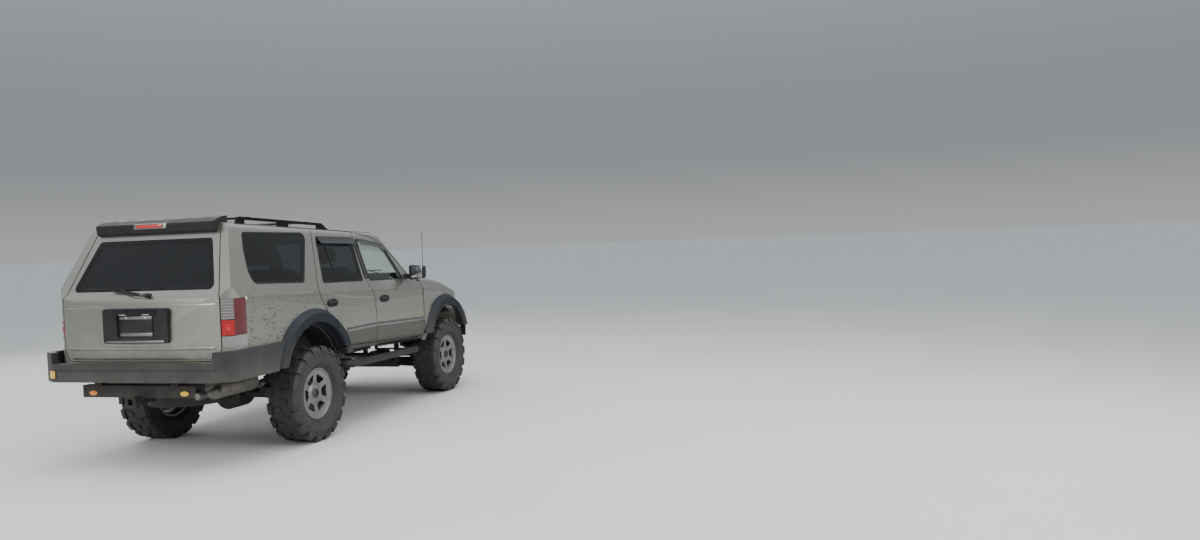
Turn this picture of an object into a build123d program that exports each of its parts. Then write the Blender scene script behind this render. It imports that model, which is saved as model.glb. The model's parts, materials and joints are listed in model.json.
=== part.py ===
from build123d import *
import math
import os

os.makedirs("parts", exist_ok=True)

# A lifted five-door off-road estate on a ladder frame, in millimetres.
# +X points forward, +Y to the vehicle's left, +Z up, and the origin lies on the
# ground under the middle of the vehicle's overall length and width.

# Overall sizes
WHEELBASE = 2675.0
FRONT_OVERHANG = 790.0
REAR_OVERHANG = 1240.0
TRACK = 1510.0
SIDE_Y = 852.0

# Tyres, wheels and how far the body stands over the wheel centres
TYRE_RADIUS = 418.0
TYRE_WIDTH = 290.0
RIM_RADIUS = 216.0
RIM_WIDTH = 205.0
DATUM_DROP = 418.0
LUG_COUNT = 18
LUG_DEPTH = 13.0
SPOKE_COUNT = 6

# Panel thicknesses and running gaps
LOWER_WALL = 105.0
UPPER_WALL = 45.0
DOOR_SKIN = 18.0
PANEL_WALL = 24.0
DOOR_GAP = 9.0
DOOR_STEP = 30.0
INNER_GAP = 12.0
FLANGE_GAP = 7.0
GLASS_SETBACK = 5.0
GLASS_THICKNESS = 5.0
SEAT_FIT = 0.3
PANEL_FIT = 0.8

# Cabin form: a cross-section drawn out along a slight nose-down rake
RAKE = 0.04
SECTION_STATION = -1250.0
ROOF_EDGE_RADIUS = 70.0
CABIN_FRONT = -535.0
GLASS_SLOPE = 1.032
COWL_HEIGHT = 1350.0

# Bonnet form: a cross-section revolved about a line far below the nose
HOOD_RADIUS = 3260.0
HOOD_CENTRE_STATION = -724.5
HOOD_CENTRE_HEIGHT = -1883.8

# Wheel arches and their flares, radii about the arch centres
REAR_ARCH_RADIUS = 485.0
FRONT_ARCH_RADIUS = 445.0
REAR_ARCH_HEIGHT = 560.0
FRONT_ARCH_HEIGHT = 550.0
FLARE_WIDTH = 118.0
FLARE_Y = 905.0
LINER_WALL = 15.0
LINER_GAP = 7.0

# Hinges and steering
HINGE_OUTSET = 3.0
HINGE_PIN = 2.0
HINGE_BARREL = 3.5
HINGE_LENGTH = 60.0
HINGE_EAR = 9.0
HINGE_ROOT = 40.0
KINGPIN_Y = 680.0
STEER_PIN_GAP = 0.3

# Ladder frame
RAIL_Y = 360.0
RAIL_WIDTH = 70.0
RAIL_HEIGHT = 95.0
RAIL_BASE = 668.0
FLOOR_HEIGHT = 800.0
FLOOR_THICKNESS = 25.0

# Tow hitch: a 50.8 mm socket in a 63.5 mm tube with a cross pin
SOCKET_SIZE = 50.8
RECEIVER_SIZE = 63.5
RECEIVER_LENGTH = 240.0
HITCH_PIN_RADIUS = 8.0
HITCH_PIN_INSET = 45.0

# Number plate fixing holes
PLATE_SPACING_Y = 177.8
PLATE_SPACING_Z = 120.65
PLATE_HOLE_RADIUS = 3.5

LENGTH = FRONT_OVERHANG + WHEELBASE + REAR_OVERHANG
REAR_AXLE_X = REAR_OVERHANG - LENGTH / 2
FRONT_AXLE_X = REAR_AXLE_X + WHEELBASE
AXLE_Z = TYRE_RADIUS
WHEEL_Y = TRACK / 2
HINGE_Y = SIDE_Y + HINGE_OUTSET
SIDES = (("left", 1), ("right", -1))


def rear(station):
    """X of a station measured forward from the rear axle."""
    return REAR_AXLE_X + station


def front(station):
    """X of a station measured forward from the front axle."""
    return FRONT_AXLE_X + station


def up(height):
    """Z of a height above the body's datum, which hangs under the wheel centres."""
    return AXLE_Z - DATUM_DROP + height


def prism(plane, points, radius, amount, growth=0.0):
    """A closed outline with rounded corners, grown if asked, drawn out of its plane."""
    with BuildPart() as block:
        with BuildSketch(plane):
            with BuildLine():
                if radius:
                    FilletPolyline(points, radius=radius, close=True)
                else:
                    Polyline(points, close=True)
            make_face()
            if growth:
                offset(amount=growth, kind=Kind.INTERSECTION)
        extrude(amount=amount)
    return block.part


def side_prism(points, radius, y_low, y_high, growth=0.0):
    """A side-view outline, (x, z), between two widths."""
    return prism(Plane.XZ.offset(-y_high), points, radius, y_high - y_low, growth)


def plan_prism(points, radius, z_low, z_high, growth=0.0):
    """A top-view outline, (x, y), between two heights."""
    return prism(Plane.XY.offset(z_low), points, radius, z_high - z_low, growth)


def cross_prism(points, radius, x_low, x_high, growth=0.0):
    """A front-view outline, (y, z), between two stations."""
    return prism(Plane.YZ.offset(x_low), points, radius, x_high - x_low, growth)


def block(x_low, x_high, y_low, y_high, z_low, z_high):
    """A plain rectangular solid between the given limits."""
    corners = [(x_low, y_low), (x_high, y_low), (x_high, y_high), (x_low, y_high)]
    return plan_prism(corners, 0, z_low, z_high)


def rod(start, end, radius):
    """A round bar from one point to another."""
    span = Vector(end) - Vector(start)
    with BuildPart() as bar:
        with BuildSketch(Plane(origin=start, z_dir=span)):
            Circle(radius)
        extrude(amount=span.length)
    return bar.part


def wheel_disc(x, z, radius, y_low, y_high):
    """A round solid across the vehicle, about a line parallel to Y."""
    return rod((x, y_low, z), (x, y_high, z), radius)


def both_sides(points):
    """Mirror a half outline of (offset, height) points that starts and ends off the axis."""
    return points + [(-y, z) for y, z in reversed(points)]


def save(piece, node):
    """Label a finished piece and write it to its own file."""
    piece.label = node
    export_step(piece, f"parts/{node}.step")


def joined(*pieces):
    """Several pieces of one node as one part, fused where they touch."""
    with BuildPart() as group:
        for piece in pieces:
            add(piece)
    return group.part


def cut(base, *tools):
    """A piece with other solids taken out of it."""
    with BuildPart() as result:
        add(base)
        for tool in tools:
            add(tool, mode=Mode.SUBTRACT)
    return result.part


def common(base, *tools):
    """What a piece shares with each of the given solids."""
    with BuildPart() as result:
        add(base)
        for tool in tools:
            add(tool, mode=Mode.INTERSECT)
    return result.part


def mirrored(piece):
    """The same piece on the vehicle's other side."""
    with BuildPart() as other:
        mirror(piece, about=Plane.XZ)
    return other.part


# How far the cross-sections stand outside the plan outlines that trim them
SECTION_EXCESS = 5.0

# The cabin's silhouette from the side. Columns: station ahead of the rear axle, height,
# corner radius, and how an inset moves the point, forward and up, per millimetre.
CABIN_SIDE = [
    (-1085, 560, 0, 1, -1),
    (-1118, 900, 600, 1, 0),
    (-1127, 1100, 300, 1, 0),
    (-1100, 1340, 90, 1, 0),
    (-1056, 1400, 60, 1, 0),
    (-858, 1838, 120, 1, 0),
    (-812, 1925, 60, 1, -0.5),
    (-690, 1990, 120, 0.5, -1),
    (800, 1928, 0, 0, -1),
    (1300, 1888, 900, 0, -1),
    (1640, 1790, 0, 0, -1),
    (2300, 1560, 0, 0, -1),
    (2300, 560, 0, 0, -1),
]

# Half of the cabin's cross-section at its reference station. Columns: half width,
# height, corner radius, and how an inset moves the point, inward and up.
CABIN_SECTION = [
    (790, 800, 0, 1, -3),
    (838, 862, 60, 1, 0),
    (SIDE_Y + SECTION_EXCESS, 980, 200, 1, 0),
    (SIDE_Y + SECTION_EXCESS, 1130, 400, 1, 0),
    (843, 1340, 120, 1, 0),
    (808, 1440, 200, 1, 0),
    (648, 1930, 0, 0.72, -1),
]
ROOF_CROWN = 1980.0


def cabin_form(inset=0.0):
    """The closed outer form of the cabin, or the same form taken in evenly."""
    back = front(CABIN_FRONT) - inset
    with BuildPart() as form:
        with BuildSketch(Plane.XZ):
            with BuildLine():
                points = [(rear(s) + dx * inset, up(h) + dz * inset) for s, h, _, dx, dz in CABIN_SIDE]
                FilletPolyline(points, radius=[row[2] for row in CABIN_SIDE], close=True)
            make_face()
        extrude(amount=SIDE_Y + FLARE_WIDTH, both=True)
        with BuildSketch(Plane.XY.offset(up(400))):
            with BuildLine():
                corner = (rear(-1090) + inset, 740 - inset)
                middle = (rear(-1035) + 0.75 * inset, 812 - 0.75 * inset)
                shoulder = (rear(-900), 844 - inset)
                bulge = (rear(600), SIDE_Y - inset)
                end = (back, 847 - inset)
                ThreePointArc((corner[0], -corner[1]), (rear(-1128) + inset, 0), corner)
                ThreePointArc(corner, middle, shoulder)
                half = [shoulder, bulge, end]
                Polyline(half + [(x, -y) for x, y in reversed(half)])
                ThreePointArc((shoulder[0], -shoulder[1]), (middle[0], -middle[1]), (corner[0], -corner[1]))
            make_face()
        extrude(amount=2000, mode=Mode.INTERSECT)
        tilted = Plane(origin=(rear(SECTION_STATION), 0, 0), x_dir=(0, 1, 0), z_dir=(1, 0, -RAKE))
        with BuildSketch(tilted):
            with BuildLine():
                half = [(y - dy * inset, up(z) + dz * inset) for y, z, _, dy, dz in CABIN_SECTION]
                radii = [row[2] for row in CABIN_SECTION[1:-1]]
                for side in (-1, 1):
                    FilletPolyline([(side * y, z) for y, z in half], radius=radii)
                roof_y, roof_z = half[-1]
                ThreePointArc((-roof_y, roof_z), (0, up(ROOF_CROWN) - inset), (roof_y, roof_z))
                Line((-half[0][0], half[0][1]), half[0])
            make_face()
            roof_corners = vertices().filter_by_position(Axis.Y, roof_z - 1, roof_z + 1)
            fillet(roof_corners, radius=max(ROOF_EDGE_RADIUS - inset, 5))
        extrude(amount=WHEELBASE + 1400, mode=Mode.INTERSECT)
        with BuildSketch(Plane.XY.offset(up(COWL_HEIGHT) - inset)):
            setback = inset * math.hypot(1, GLASS_SLOPE) - inset * GLASS_SLOPE
            with BuildLine():
                edge = front(-742) - setback
                crown = front(-620) - setback
                ThreePointArc((edge, -SIDE_Y), (crown, 0), (edge, SIDE_Y))
                Polyline((edge, SIDE_Y), (front(900), SIDE_Y), (front(900), -SIDE_Y), (edge, -SIDE_Y))
            make_face()
        extrude(amount=1000, dir=(-GLASS_SLOPE, 0, 1), mode=Mode.SUBTRACT)
    return form.part


# Half of the nose's cross-section in the upright plane through the revolve's axis,
# with the same columns as the cabin's.
NOSE_SECTION = [
    (800, 650, 0, 1, -3),
    (838, 760, 40, 1, 0),
    (SIDE_Y + SECTION_EXCESS, 880, 200, 1, 0),
    (SIDE_Y + SECTION_EXCESS, 1130, 200, 1, 0),
    (846, 1213, 60, 1, -0.3),
    (806, 1312, 25, 0.9, -0.7),
    (768, 1340, 0, 0.5, -1),
]
NOSE_CROWN = HOOD_CENTRE_HEIGHT + HOOD_RADIUS


def nose_form(inset=0.0):
    """The closed outer form of wings and bonnet, or the same form taken in evenly."""
    axis_x = rear(WHEELBASE + HOOD_CENTRE_STATION)
    back = front(CABIN_FRONT) + DOOR_GAP
    with BuildPart() as form:
        with BuildSketch(Plane.YZ.offset(axis_x)):
            with BuildLine():
                half = [(y - dy * inset, up(z) + dz * inset) for y, z, _, dy, dz in NOSE_SECTION]
                radii = [row[2] for row in NOSE_SECTION[1:-1]]
                for side in (-1, 1):
                    FilletPolyline([(side * y, z) for y, z in half], radius=radii)
                top_y, top_z = half[-1]
                ThreePointArc((-top_y, top_z), (0, up(NOSE_CROWN) - inset), (top_y, top_z))
                Line((-half[0][0], half[0][1]), half[0])
            make_face()
        spin = Axis((axis_x, 0, up(HOOD_CENTRE_HEIGHT)), (0, 1, 0))
        revolve(axis=spin, revolution_arc=38)
        with BuildSketch(Plane.XY.offset(up(300))):
            with BuildLine():
                corner = (front(615) - inset, 620 - 0.5 * inset)
                middle = (front(405) - 0.6 * inset, 795 - 0.8 * inset)
                shoulder = (front(100), 842 - inset)
                end = (back, SIDE_Y - inset)
                ThreePointArc((corner[0], -corner[1]), (front(675) - inset, 0), corner)
                ThreePointArc(corner, middle, shoulder)
                Polyline(shoulder, end, (end[0], -end[1]), (shoulder[0], -shoulder[1]))
                ThreePointArc((shoulder[0], -shoulder[1]), (middle[0], -middle[1]), (corner[0], -corner[1]))
            make_face()
        extrude(amount=1400, mode=Mode.INTERSECT)
    return form.part


# Shared layers of the cabin's shell: outer skin, door flange and hollow inside
CABIN = cabin_form()
CABIN_SKIN = cabin_form(DOOR_SKIN)
CABIN_FLANGE = cabin_form(DOOR_SKIN + FLANGE_GAP)
ABOVE_BELT = side_prism(
    [(rear(-1400), up(1405)), (rear(2700), up(1270)), (rear(2700), up(2200)), (rear(-1400), up(2200))],
    0,
    -SIDE_Y,
    SIDE_Y,
)
CABIN_VOID = joined(common(cabin_form(UPPER_WALL), ABOVE_BELT), cut(cabin_form(LOWER_WALL), ABOVE_BELT))
PANE_OUTER = cabin_form(GLASS_SETBACK)
PANE_INNER = cabin_form(GLASS_SETBACK + GLASS_THICKNESS)
SHELL = cut(CABIN, CABIN_VOID)
PANE_LAYER = cut(PANE_OUTER, PANE_INNER)

# Side outlines on the right, columns: station ahead of the rear axle, height, radius
REAR_DOOR = [
    (330, 1866, 20),
    (120, 1290, 90),
    (300, 1030, 60),
    (300, 790, 0),
    (1095, 748, 25),
    (1095, 1150, 120),
    (1020, 1330, 150),
    (1020, 1838, 25),
]
FRONT_DOOR = [
    (1029, 1837, 25),
    (1029, 1332, 150),
    (1104, 1152, 120),
    (1104, 747, 25),
    (2140, 700, 25),
    (2140, 1290, 30),
    (1955, 1342, 60),
    (1848, 1425, 0),
    (1715, 1565, 0),
    (1545, 1712, 90),
    (1375, 1785, 120),
]
REAR_DOOR_WINDOW = [(361, 1794, 25), (236, 1374, 25), (948, 1356, 25), (984, 1780, 25)]
FRONT_DOOR_WINDOW = [(1074, 1770, 25), (1074, 1352, 25), (1782, 1334, 25), (1585, 1684, 60), (1351, 1742, 90)]
QUARTER_WINDOW = [
    (-692, 1842, 45),
    (220, 1832, 45),
    (-50, 1394, 45),
    (-745, 1423, 60),
    (-775, 1521, 90),
    (-745, 1698, 90),
]
SIDE_REACH = (-SIDE_Y - FLARE_WIDTH, -610.0)


def side_cut(rows, growth=0.0):
    """A right-hand side outline drawn across the body's side wall."""
    points = [(rear(s), up(h)) for s, h, _ in rows]
    outer, inner = SIDE_REACH
    return side_prism(points, [r for _, _, r in rows], outer, inner + growth, growth)


# The cowl's end. Columns: station, half width, height
COWL_SIDE = (1980.0, 745.0, 1420.0)
# Where the front door's frame is thin, beside the cowl's end and round the hinges, with
# the same columns
DOOR_POSTS = ((1870.0, 775.0, 1375.0), (2060.0, 812.0, 1375.0))


def front_door_cut(growth=0.0):
    """The front door's outline, kept off the cowl's end behind its front edge."""
    station, width, height = COWL_SIDE
    cowl_end = block(rear(station) + growth, front(0), -width + growth, 0, up(300), up(height) - growth)
    return cut(side_cut(FRONT_DOOR, growth), cowl_end)


# Rear-view outlines, columns: half width, height, radius
TAILGATE = [(692, 852, 20), (737, 945, 60), (737, 1338, 60), (712, 1402, 120), (585, 1880, 0), (560, 2050, 0)]
REAR_WINDOW = [(675, 1402, 40), (540, 1806, 40)]
WINDSCREEN = [(735, 1392, 40), (604, 1757, 40)]
TAILGATE_EDGE = -709.0


def cross_cut(rows, x_low, x_high, growth=0.0):
    """A symmetric front-view outline drawn along the vehicle."""
    points = both_sides([(y, up(h)) for y, h, _ in rows])
    radii = [r for _, _, r in rows]
    return cross_prism(points, radii + radii[::-1], x_low, x_high, growth)


def tailgate_cut(growth=0.0):
    """The tailgate's outline, which stops at the roof's rear edge."""
    return cross_cut(TAILGATE, rear(-1300), rear(TAILGATE_EDGE) + growth, growth)


def closure(outline):
    """A door or gate: an outer skin over a slightly smaller inner frame."""
    skin = common(cut(CABIN, CABIN_SKIN), outline(0))
    frame = common(cut(CABIN_SKIN, CABIN_VOID), outline(-DOOR_STEP))
    return joined(skin, frame)


def aperture(outline):
    """The solids to take out of the body around a door or gate."""
    return cut(outline(DOOR_GAP), CABIN_FLANGE), outline(INNER_GAP - DOOR_STEP)


def pane(window):
    """A sheet of glass just inside a window opening."""
    return common(PANE_LAYER, window)


ARCHES = {
    "rear": (rear(0), up(REAR_ARCH_HEIGHT), REAR_ARCH_RADIUS),
    "front": (front(0), up(FRONT_ARCH_HEIGHT), FRONT_ARCH_RADIUS),
}
FLARE_BASE = 715.0
FLARE_ROOT = 55.0
REAR_FLARE_ROOT = 33.0
FLARE_SLOPE = 40.0


def arch_cut(which, growth=0.0):
    """The round opening over a right-hand wheel."""
    x, z, radius = ARCHES[which]
    return wheel_disc(x, z, radius + growth, -SIDE_Y - FLARE_WIDTH, -KINGPIN_Y / 2)


def flare(which, depth, *panels):
    """A right-hand arch flare: a moulding turned about the arch's centre, set on the panels."""
    x, z, radius = ARCHES[which]
    root = SIDE_Y - depth
    rim = radius + FLARE_WIDTH
    profile = [
        (root, radius),
        (FLARE_Y - 10, radius),
        (FLARE_Y, radius + 16),
        (FLARE_Y, rim - FLARE_SLOPE),
        (SIDE_Y, rim),
        (root, rim),
    ]
    with BuildPart() as moulding:
        with BuildSketch(Plane.YZ.offset(x)):
            with BuildLine():
                Polyline([(-y, z + r) for y, r in profile], close=True)
            make_face()
        revolve(axis=Axis((x, 0, z), (0, 1, 0)), revolution_arc=360)
    below = block(x - rim - 1, x + rim + 1, -FLARE_Y - 1, -root + 1, z - rim - 1, up(FLARE_BASE))
    return cut(moulding.part, below, *panels)


# Nose skins and the openings in them
NOSE = nose_form()
NOSE_SKIN = cut(NOSE, nose_form(PANEL_WALL))
HOOD_PLAN = [(-560, 712, 0), (500, 660, 60), (586, 480, 200), (600, 150, 0)]
LAMP_BAND = [(762, 896, 15), (762, 1050, 15)]
LAMP_START = 430.0
HOOD_GAP = 7.0


def hood_cut(growth=0.0):
    """The bonnet's outline from above."""
    half = [(front(s), y) for s, y, _ in HOOD_PLAN]
    points = half + [(x, -y) for x, y in reversed(half)]
    radii = [r for _, _, r in HOOD_PLAN]
    return plan_prism(points, radii + radii[::-1], up(1000), up(1600), growth)


def front_band(growth=0.0):
    """The band across the nose that holds grille and lamps."""
    return cross_cut(LAMP_BAND, front(LAMP_START) - growth, front(FRONT_OVERHANG), growth)


# Door hinges. Columns: station, heights of their lower ends, and the foot of the fixed
# ears: reach backward and forward, and depth under the skin from and to
DOOR_HINGES = {
    "rear": (1099.5, (860.0, 1080.0), (-DOOR_SKIN, 0.0, DOOR_SKIN + FLANGE_GAP, HINGE_ROOT)),
    "front": (2144.5, (830.0, 1090.0), (0.0, DOOR_SKIN, 0.0, PANEL_WALL)),
}


def door_hinge(station, height, foot):
    """A right-hand door hinge: its fixed ears with the pin, and the barrel on the door."""
    x, y = rear(station), -HINGE_Y
    low, high = up(height), up(height) + HINGE_LENGTH
    back, ahead, depth, root = foot
    ears = [rod((x, y, low), (x, y, high), HINGE_PIN)]
    for start in (low, high - HINGE_EAR):
        top = start + HINGE_EAR
        ears += [
            rod((x, y, start), (x, y, top), HINGE_BARREL),
            block(x - HINGE_BARREL, x + HINGE_BARREL, y, -SIDE_Y + root, start, top),
            block(x + back, x + ahead, -SIDE_Y + depth, -SIDE_Y + root, start, top),
        ]
    low, high = low + HINGE_EAR + SEAT_FIT, high - HINGE_EAR - SEAT_FIT
    barrel = joined(
        rod((x, y, low), (x, y, high), HINGE_BARREL),
        block(x - DOOR_SKIN, x, y, -SIDE_Y + DOOR_SKIN, low, high),
    )
    return joined(*ears), cut(barrel, rod((x, y, low - 1), (x, y, high + 1), HINGE_PIN + SEAT_FIT))


hinge_ears, hinge_barrels = {}, {}
for which, (station, heights, foot) in DOOR_HINGES.items():
    pairs = [door_hinge(station, height, foot) for height in heights]
    hinge_ears[which] = [ears for ears, _ in pairs]
    hinge_barrels[which] = [barrel for _, barrel in pairs]

# Outer clearances for what seats on the painted panels
CABIN_CLEAR = cabin_form(-PANEL_FIT)
NOSE_CLEAR = nose_form(-PANEL_FIT)
FLOOR_LIMIT = cabin_form(LOWER_WALL + SEAT_FIT)

# Arch flares: the front leg of each rear one belongs to the rear door
door_flare = flare("rear", FLARE_ROOT, CABIN)
rear_flare = cut(flare("rear", REAR_FLARE_ROOT, CABIN_CLEAR), side_cut(REAR_DOOR, DOOR_GAP))
front_flare = cut(flare("front", FLARE_ROOT, CABIN_CLEAR, NOSE_CLEAR), side_cut(FRONT_DOOR, DOOR_GAP))
flares = joined(rear_flare, front_flare)
save(joined(flares, mirrored(flares)), "arch_flares")

# Doors on the right; the left ones are their mirror images
rear_door = cut(
    closure(lambda growth: side_cut(REAR_DOOR, growth)),
    side_cut(REAR_DOOR_WINDOW),
    arch_cut("rear"),
)
rear_door = joined(rear_door, common(door_flare, side_cut(REAR_DOOR)), *hinge_barrels["rear"])
hinge_ends = [block(rear(s), front(0), -y, 0, up(300), up(h)) for s, y, h in DOOR_POSTS]
front_door = cut(closure(front_door_cut), side_cut(FRONT_DOOR_WINDOW), *hinge_ends)
front_door = joined(front_door, *hinge_barrels["front"])
rear_door_glass = pane(side_cut(REAR_DOOR_WINDOW, -SEAT_FIT))
front_door_glass = pane(side_cut(FRONT_DOOR_WINDOW, -SEAT_FIT))

# Door mirrors: a rounded housing on a foot at the window's front corner
MIRROR_STATION = 1835.0
MIRROR_LENGTH = 95.0
MIRROR_Y = (870.0, 1035.0)
MIRROR_HEIGHTS = (1322.0, 1480.0)
with BuildPart() as mirror_housing:
    with BuildSketch(Plane.XZ.offset(MIRROR_Y[0])):
        with Locations((rear(MIRROR_STATION), up(sum(MIRROR_HEIGHTS) / 2))):
            RectangleRounded(MIRROR_LENGTH, MIRROR_HEIGHTS[1] - MIRROR_HEIGHTS[0], 28)
    extrude(amount=MIRROR_Y[1] - MIRROR_Y[0], taper=6)
    fillet(faces().sort_by(Axis.Y)[0].edges(), radius=22)
mirror_foot = cut(
    block(
        rear(MIRROR_STATION) - 20,
        rear(MIRROR_STATION) + 30,
        -MIRROR_Y[0] - 10,
        -SIDE_Y + 100,
        up(MIRROR_HEIGHTS[0]) + 14,
        up(MIRROR_HEIGHTS[0]) + 62,
    ),
    CABIN_CLEAR,
)
door_mirror = joined(mirror_housing.part, mirror_foot)
for side, sign in SIDES:
    for piece, name in (
        (rear_door, "door_rear"),
        (front_door, "door_front"),
        (rear_door_glass, "glass_rear_door"),
        (front_door_glass, "glass_front_door"),
        (door_mirror, "door_mirror"),
    ):
        save(mirrored(piece) if sign > 0 else piece, f"{name}_{side}")

# Hinges across the roof's rear edge and the cowl. Columns: station, height, inner and outer Y
GATE_HINGE = (TAILGATE_EDGE + DOOR_GAP / 2, 1962.0, 120.0, 200.0)
HOOD_HINGE = (2109.0, 1335.0, 635.0, 645.0)
KNUCKLE_PIN = 4.0
KNUCKLE_RADIUS = 8.0
KNUCKLE_EAR = 8.0
KNUCKLE_SPACE = 5.5
KNUCKLE_WEB = 15.0
gate_x, gate_z = rear(GATE_HINGE[0]), up(GATE_HINGE[1])
gate_inner, gate_outer = GATE_HINGE[2:]


def gate_rod(radius, y_low, y_high):
    """A round bar about the tailgate's hinge line."""
    return wheel_disc(gate_x, gate_z, radius, y_low, y_high)


def both(piece):
    """A piece and its mirror image."""
    return joined(piece, mirrored(piece))


barrel_low, barrel_high = gate_inner + KNUCKLE_EAR, gate_outer - KNUCKLE_EAR
gate_barrel = cut(
    joined(
        gate_rod(KNUCKLE_RADIUS, barrel_low + SEAT_FIT, barrel_high - SEAT_FIT),
        block(
            gate_x - KNUCKLE_WEB,
            gate_x,
            barrel_low + SEAT_FIT,
            barrel_high - SEAT_FIT,
            gate_z - KNUCKLE_WEB,
            gate_z,
        ),
    ),
    gate_rod(KNUCKLE_PIN + SEAT_FIT, barrel_low, barrel_high),
)
gate_ears = [gate_rod(KNUCKLE_PIN, gate_inner, gate_outer)]
for ear_low in (gate_inner, barrel_high):
    ear_high = ear_low + KNUCKLE_EAR
    gate_ears += [
        gate_rod(KNUCKLE_RADIUS, ear_low, ear_high),
        block(gate_x, gate_x + KNUCKLE_WEB, ear_low, ear_high, gate_z - KNUCKLE_WEB, gate_z),
    ]
gate_ears = joined(*gate_ears)
ear_space = joined(
    gate_rod(KNUCKLE_RADIUS + KNUCKLE_SPACE, gate_inner - KNUCKLE_SPACE, barrel_low + SEAT_FIT),
    gate_rod(KNUCKLE_RADIUS + KNUCKLE_SPACE, barrel_high - SEAT_FIT, gate_outer + KNUCKLE_SPACE),
)
barrel_space = gate_rod(KNUCKLE_RADIUS + KNUCKLE_SPACE, barrel_low, barrel_high)

# Tailgate trim: roof-edge spoiler, number plate surround and wiper
SPOILER = [
    (-720, 1930, 0),
    (-720, 1984, 8),
    (-812, 1968, 40),
    (-893, 1934, 12),
    (-884, 1866, 8),
    (-850, 1846, 0),
]
spoiler = cut(
    side_prism([(rear(s), up(h)) for s, h, _ in SPOILER], [r for _, _, r in SPOILER], -566, 566),
    CABIN_CLEAR,
)
PLATE_PANEL = (304.0, 997.0, 1270.0)
PLATE_RECESS = (168.0, 1048.0, 1214.0)
PLATE_FACE = -1149.0
PLATE_FLOOR = -1133.0
half_width, low, high = PLATE_PANEL
plate_panel = cross_prism(
    [(-half_width, up(low)), (half_width, up(low)), (half_width, up(high)), (-half_width, up(high))],
    24,
    rear(PLATE_FACE),
    rear(-1000),
)
recess_y, recess_low, recess_high = PLATE_RECESS
plate_holes = [
    rod(
        (rear(PLATE_FACE), side * PLATE_SPACING_Y / 2, up((recess_low + recess_high) / 2) + rise),
        (rear(-1000), side * PLATE_SPACING_Y / 2, up((recess_low + recess_high) / 2) + rise),
        PLATE_HOLE_RADIUS,
    )
    for side in (-1, 1)
    for rise in (-PLATE_SPACING_Z / 2, PLATE_SPACING_Z / 2)
]
# Tailgate with its window
tailgate = cut(
    closure(tailgate_cut),
    cross_cut(REAR_WINDOW, rear(-1300), rear(-700)),
    both(ear_space),
    *plate_holes,
)
tailgate = joined(tailgate, both(gate_barrel))
tailgate_glass = common(
    pane(cross_cut(REAR_WINDOW, rear(-1300), rear(-700), -SEAT_FIT)),
    block(rear(-1300), rear(-700), -SIDE_Y, SIDE_Y, up(1300), up(1900)),
)
save(tailgate, "tailgate")
save(tailgate_glass, "glass_tailgate")

plate_panel = cut(
    plate_panel,
    block(rear(PLATE_FACE) - 1, rear(PLATE_FLOOR), -recess_y, recess_y, up(recess_low), up(recess_high)),
    CABIN_CLEAR,
    *plate_holes,
)
WIPER_PIVOT = (-1090.0, -95.0, 1368.0)
WIPER_TIP = (-1072.0, 270.0, 1408.0)
wiper_start = (rear(WIPER_PIVOT[0]), WIPER_PIVOT[1], up(WIPER_PIVOT[2]))
wiper_end = (rear(WIPER_TIP[0]), WIPER_TIP[1], up(WIPER_TIP[2]))
wiper_boss = rod((rear(WIPER_PIVOT[0]) - 14, *wiper_start[1:]), (rear(-1000), *wiper_start[1:]), 16)
wiper = cut(joined(rod(wiper_start, wiper_end, 7), wiper_boss), CABIN_CLEAR, tailgate_glass)
save(joined(spoiler, plate_panel, wiper), "tailgate_trim")

# Body shell with every opening in it, made as its right half and mirrored
right_half = block(rear(-1400), front(0), -SIDE_Y - FLARE_WIDTH, 0, up(300), up(2300))
TAIL_LAMP = (746.3, 880.0, 950.0, 1328.0)
TAIL_LAMP_FRONT = -915.0
TAIL_LAMP_DEPTH = 55.0


def tail_lamp_cut(growth=0.0):
    """The right-hand rear corner that the lamp fills."""
    inner, outer, low, high = TAIL_LAMP
    return block(
        rear(-1300),
        rear(TAIL_LAMP_FRONT) + growth,
        -outer,
        -inner + growth,
        up(low) - growth,
        up(high) + growth,
    )


LAMP_CORE = cabin_form(TAIL_LAMP_DEPTH)
lamp_pocket = cut(tail_lamp_cut(SEAT_FIT), LAMP_CORE)
tail_lamp = cut(common(CABIN, tail_lamp_cut()), LAMP_CORE)
save(joined(tail_lamp, mirrored(tail_lamp)), "tail_lamps")
body = cut(
    common(SHELL, right_half),
    cross_cut(WINDSCREEN, front(-1350), front(-400)),
    *aperture(tailgate_cut),
    side_cut(QUARTER_WINDOW),
    arch_cut("rear"),
    lamp_pocket,
    *aperture(lambda growth: side_cut(REAR_DOOR, growth)),
    *aperture(front_door_cut),
)

# The shell parts along its roof seams and behind the wings
ROOF_SEAM_Y = 585.0
CORE_Y = 722.0
SEAM_HEIGHT = 1390.0
core = cross_prism(
    [(0, up(300)), (-CORE_Y, up(300)), (-CORE_Y, up(SEAM_HEIGHT)), (-ROOF_SEAM_Y, up(SEAM_HEIGHT))]
    + [(-ROOF_SEAM_Y, up(2300)), (0, up(2300))],
    0,
    rear(-1400),
    front(0),
)
middle = common(body, core)
side_panel = joined(cut(body, core), *hinge_ears["rear"])
roof_half = common(middle, block(rear(-1400), front(0), -SIDE_Y, 0, up(1600), up(2300)))
sill_half = common(middle, block(rear(-1400), rear(-600), -SIDE_Y, 0, up(500), up(1100)))
bulkhead_half = common(middle, block(front(-950), front(0), -SIDE_Y, 0, up(FLOOR_HEIGHT - FLOOR_THICKNESS), up(1600)))
roof_panel = joined(cut(both(roof_half), both(barrel_space)), both(gate_ears))
rear_sill = both(sill_half)

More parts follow.
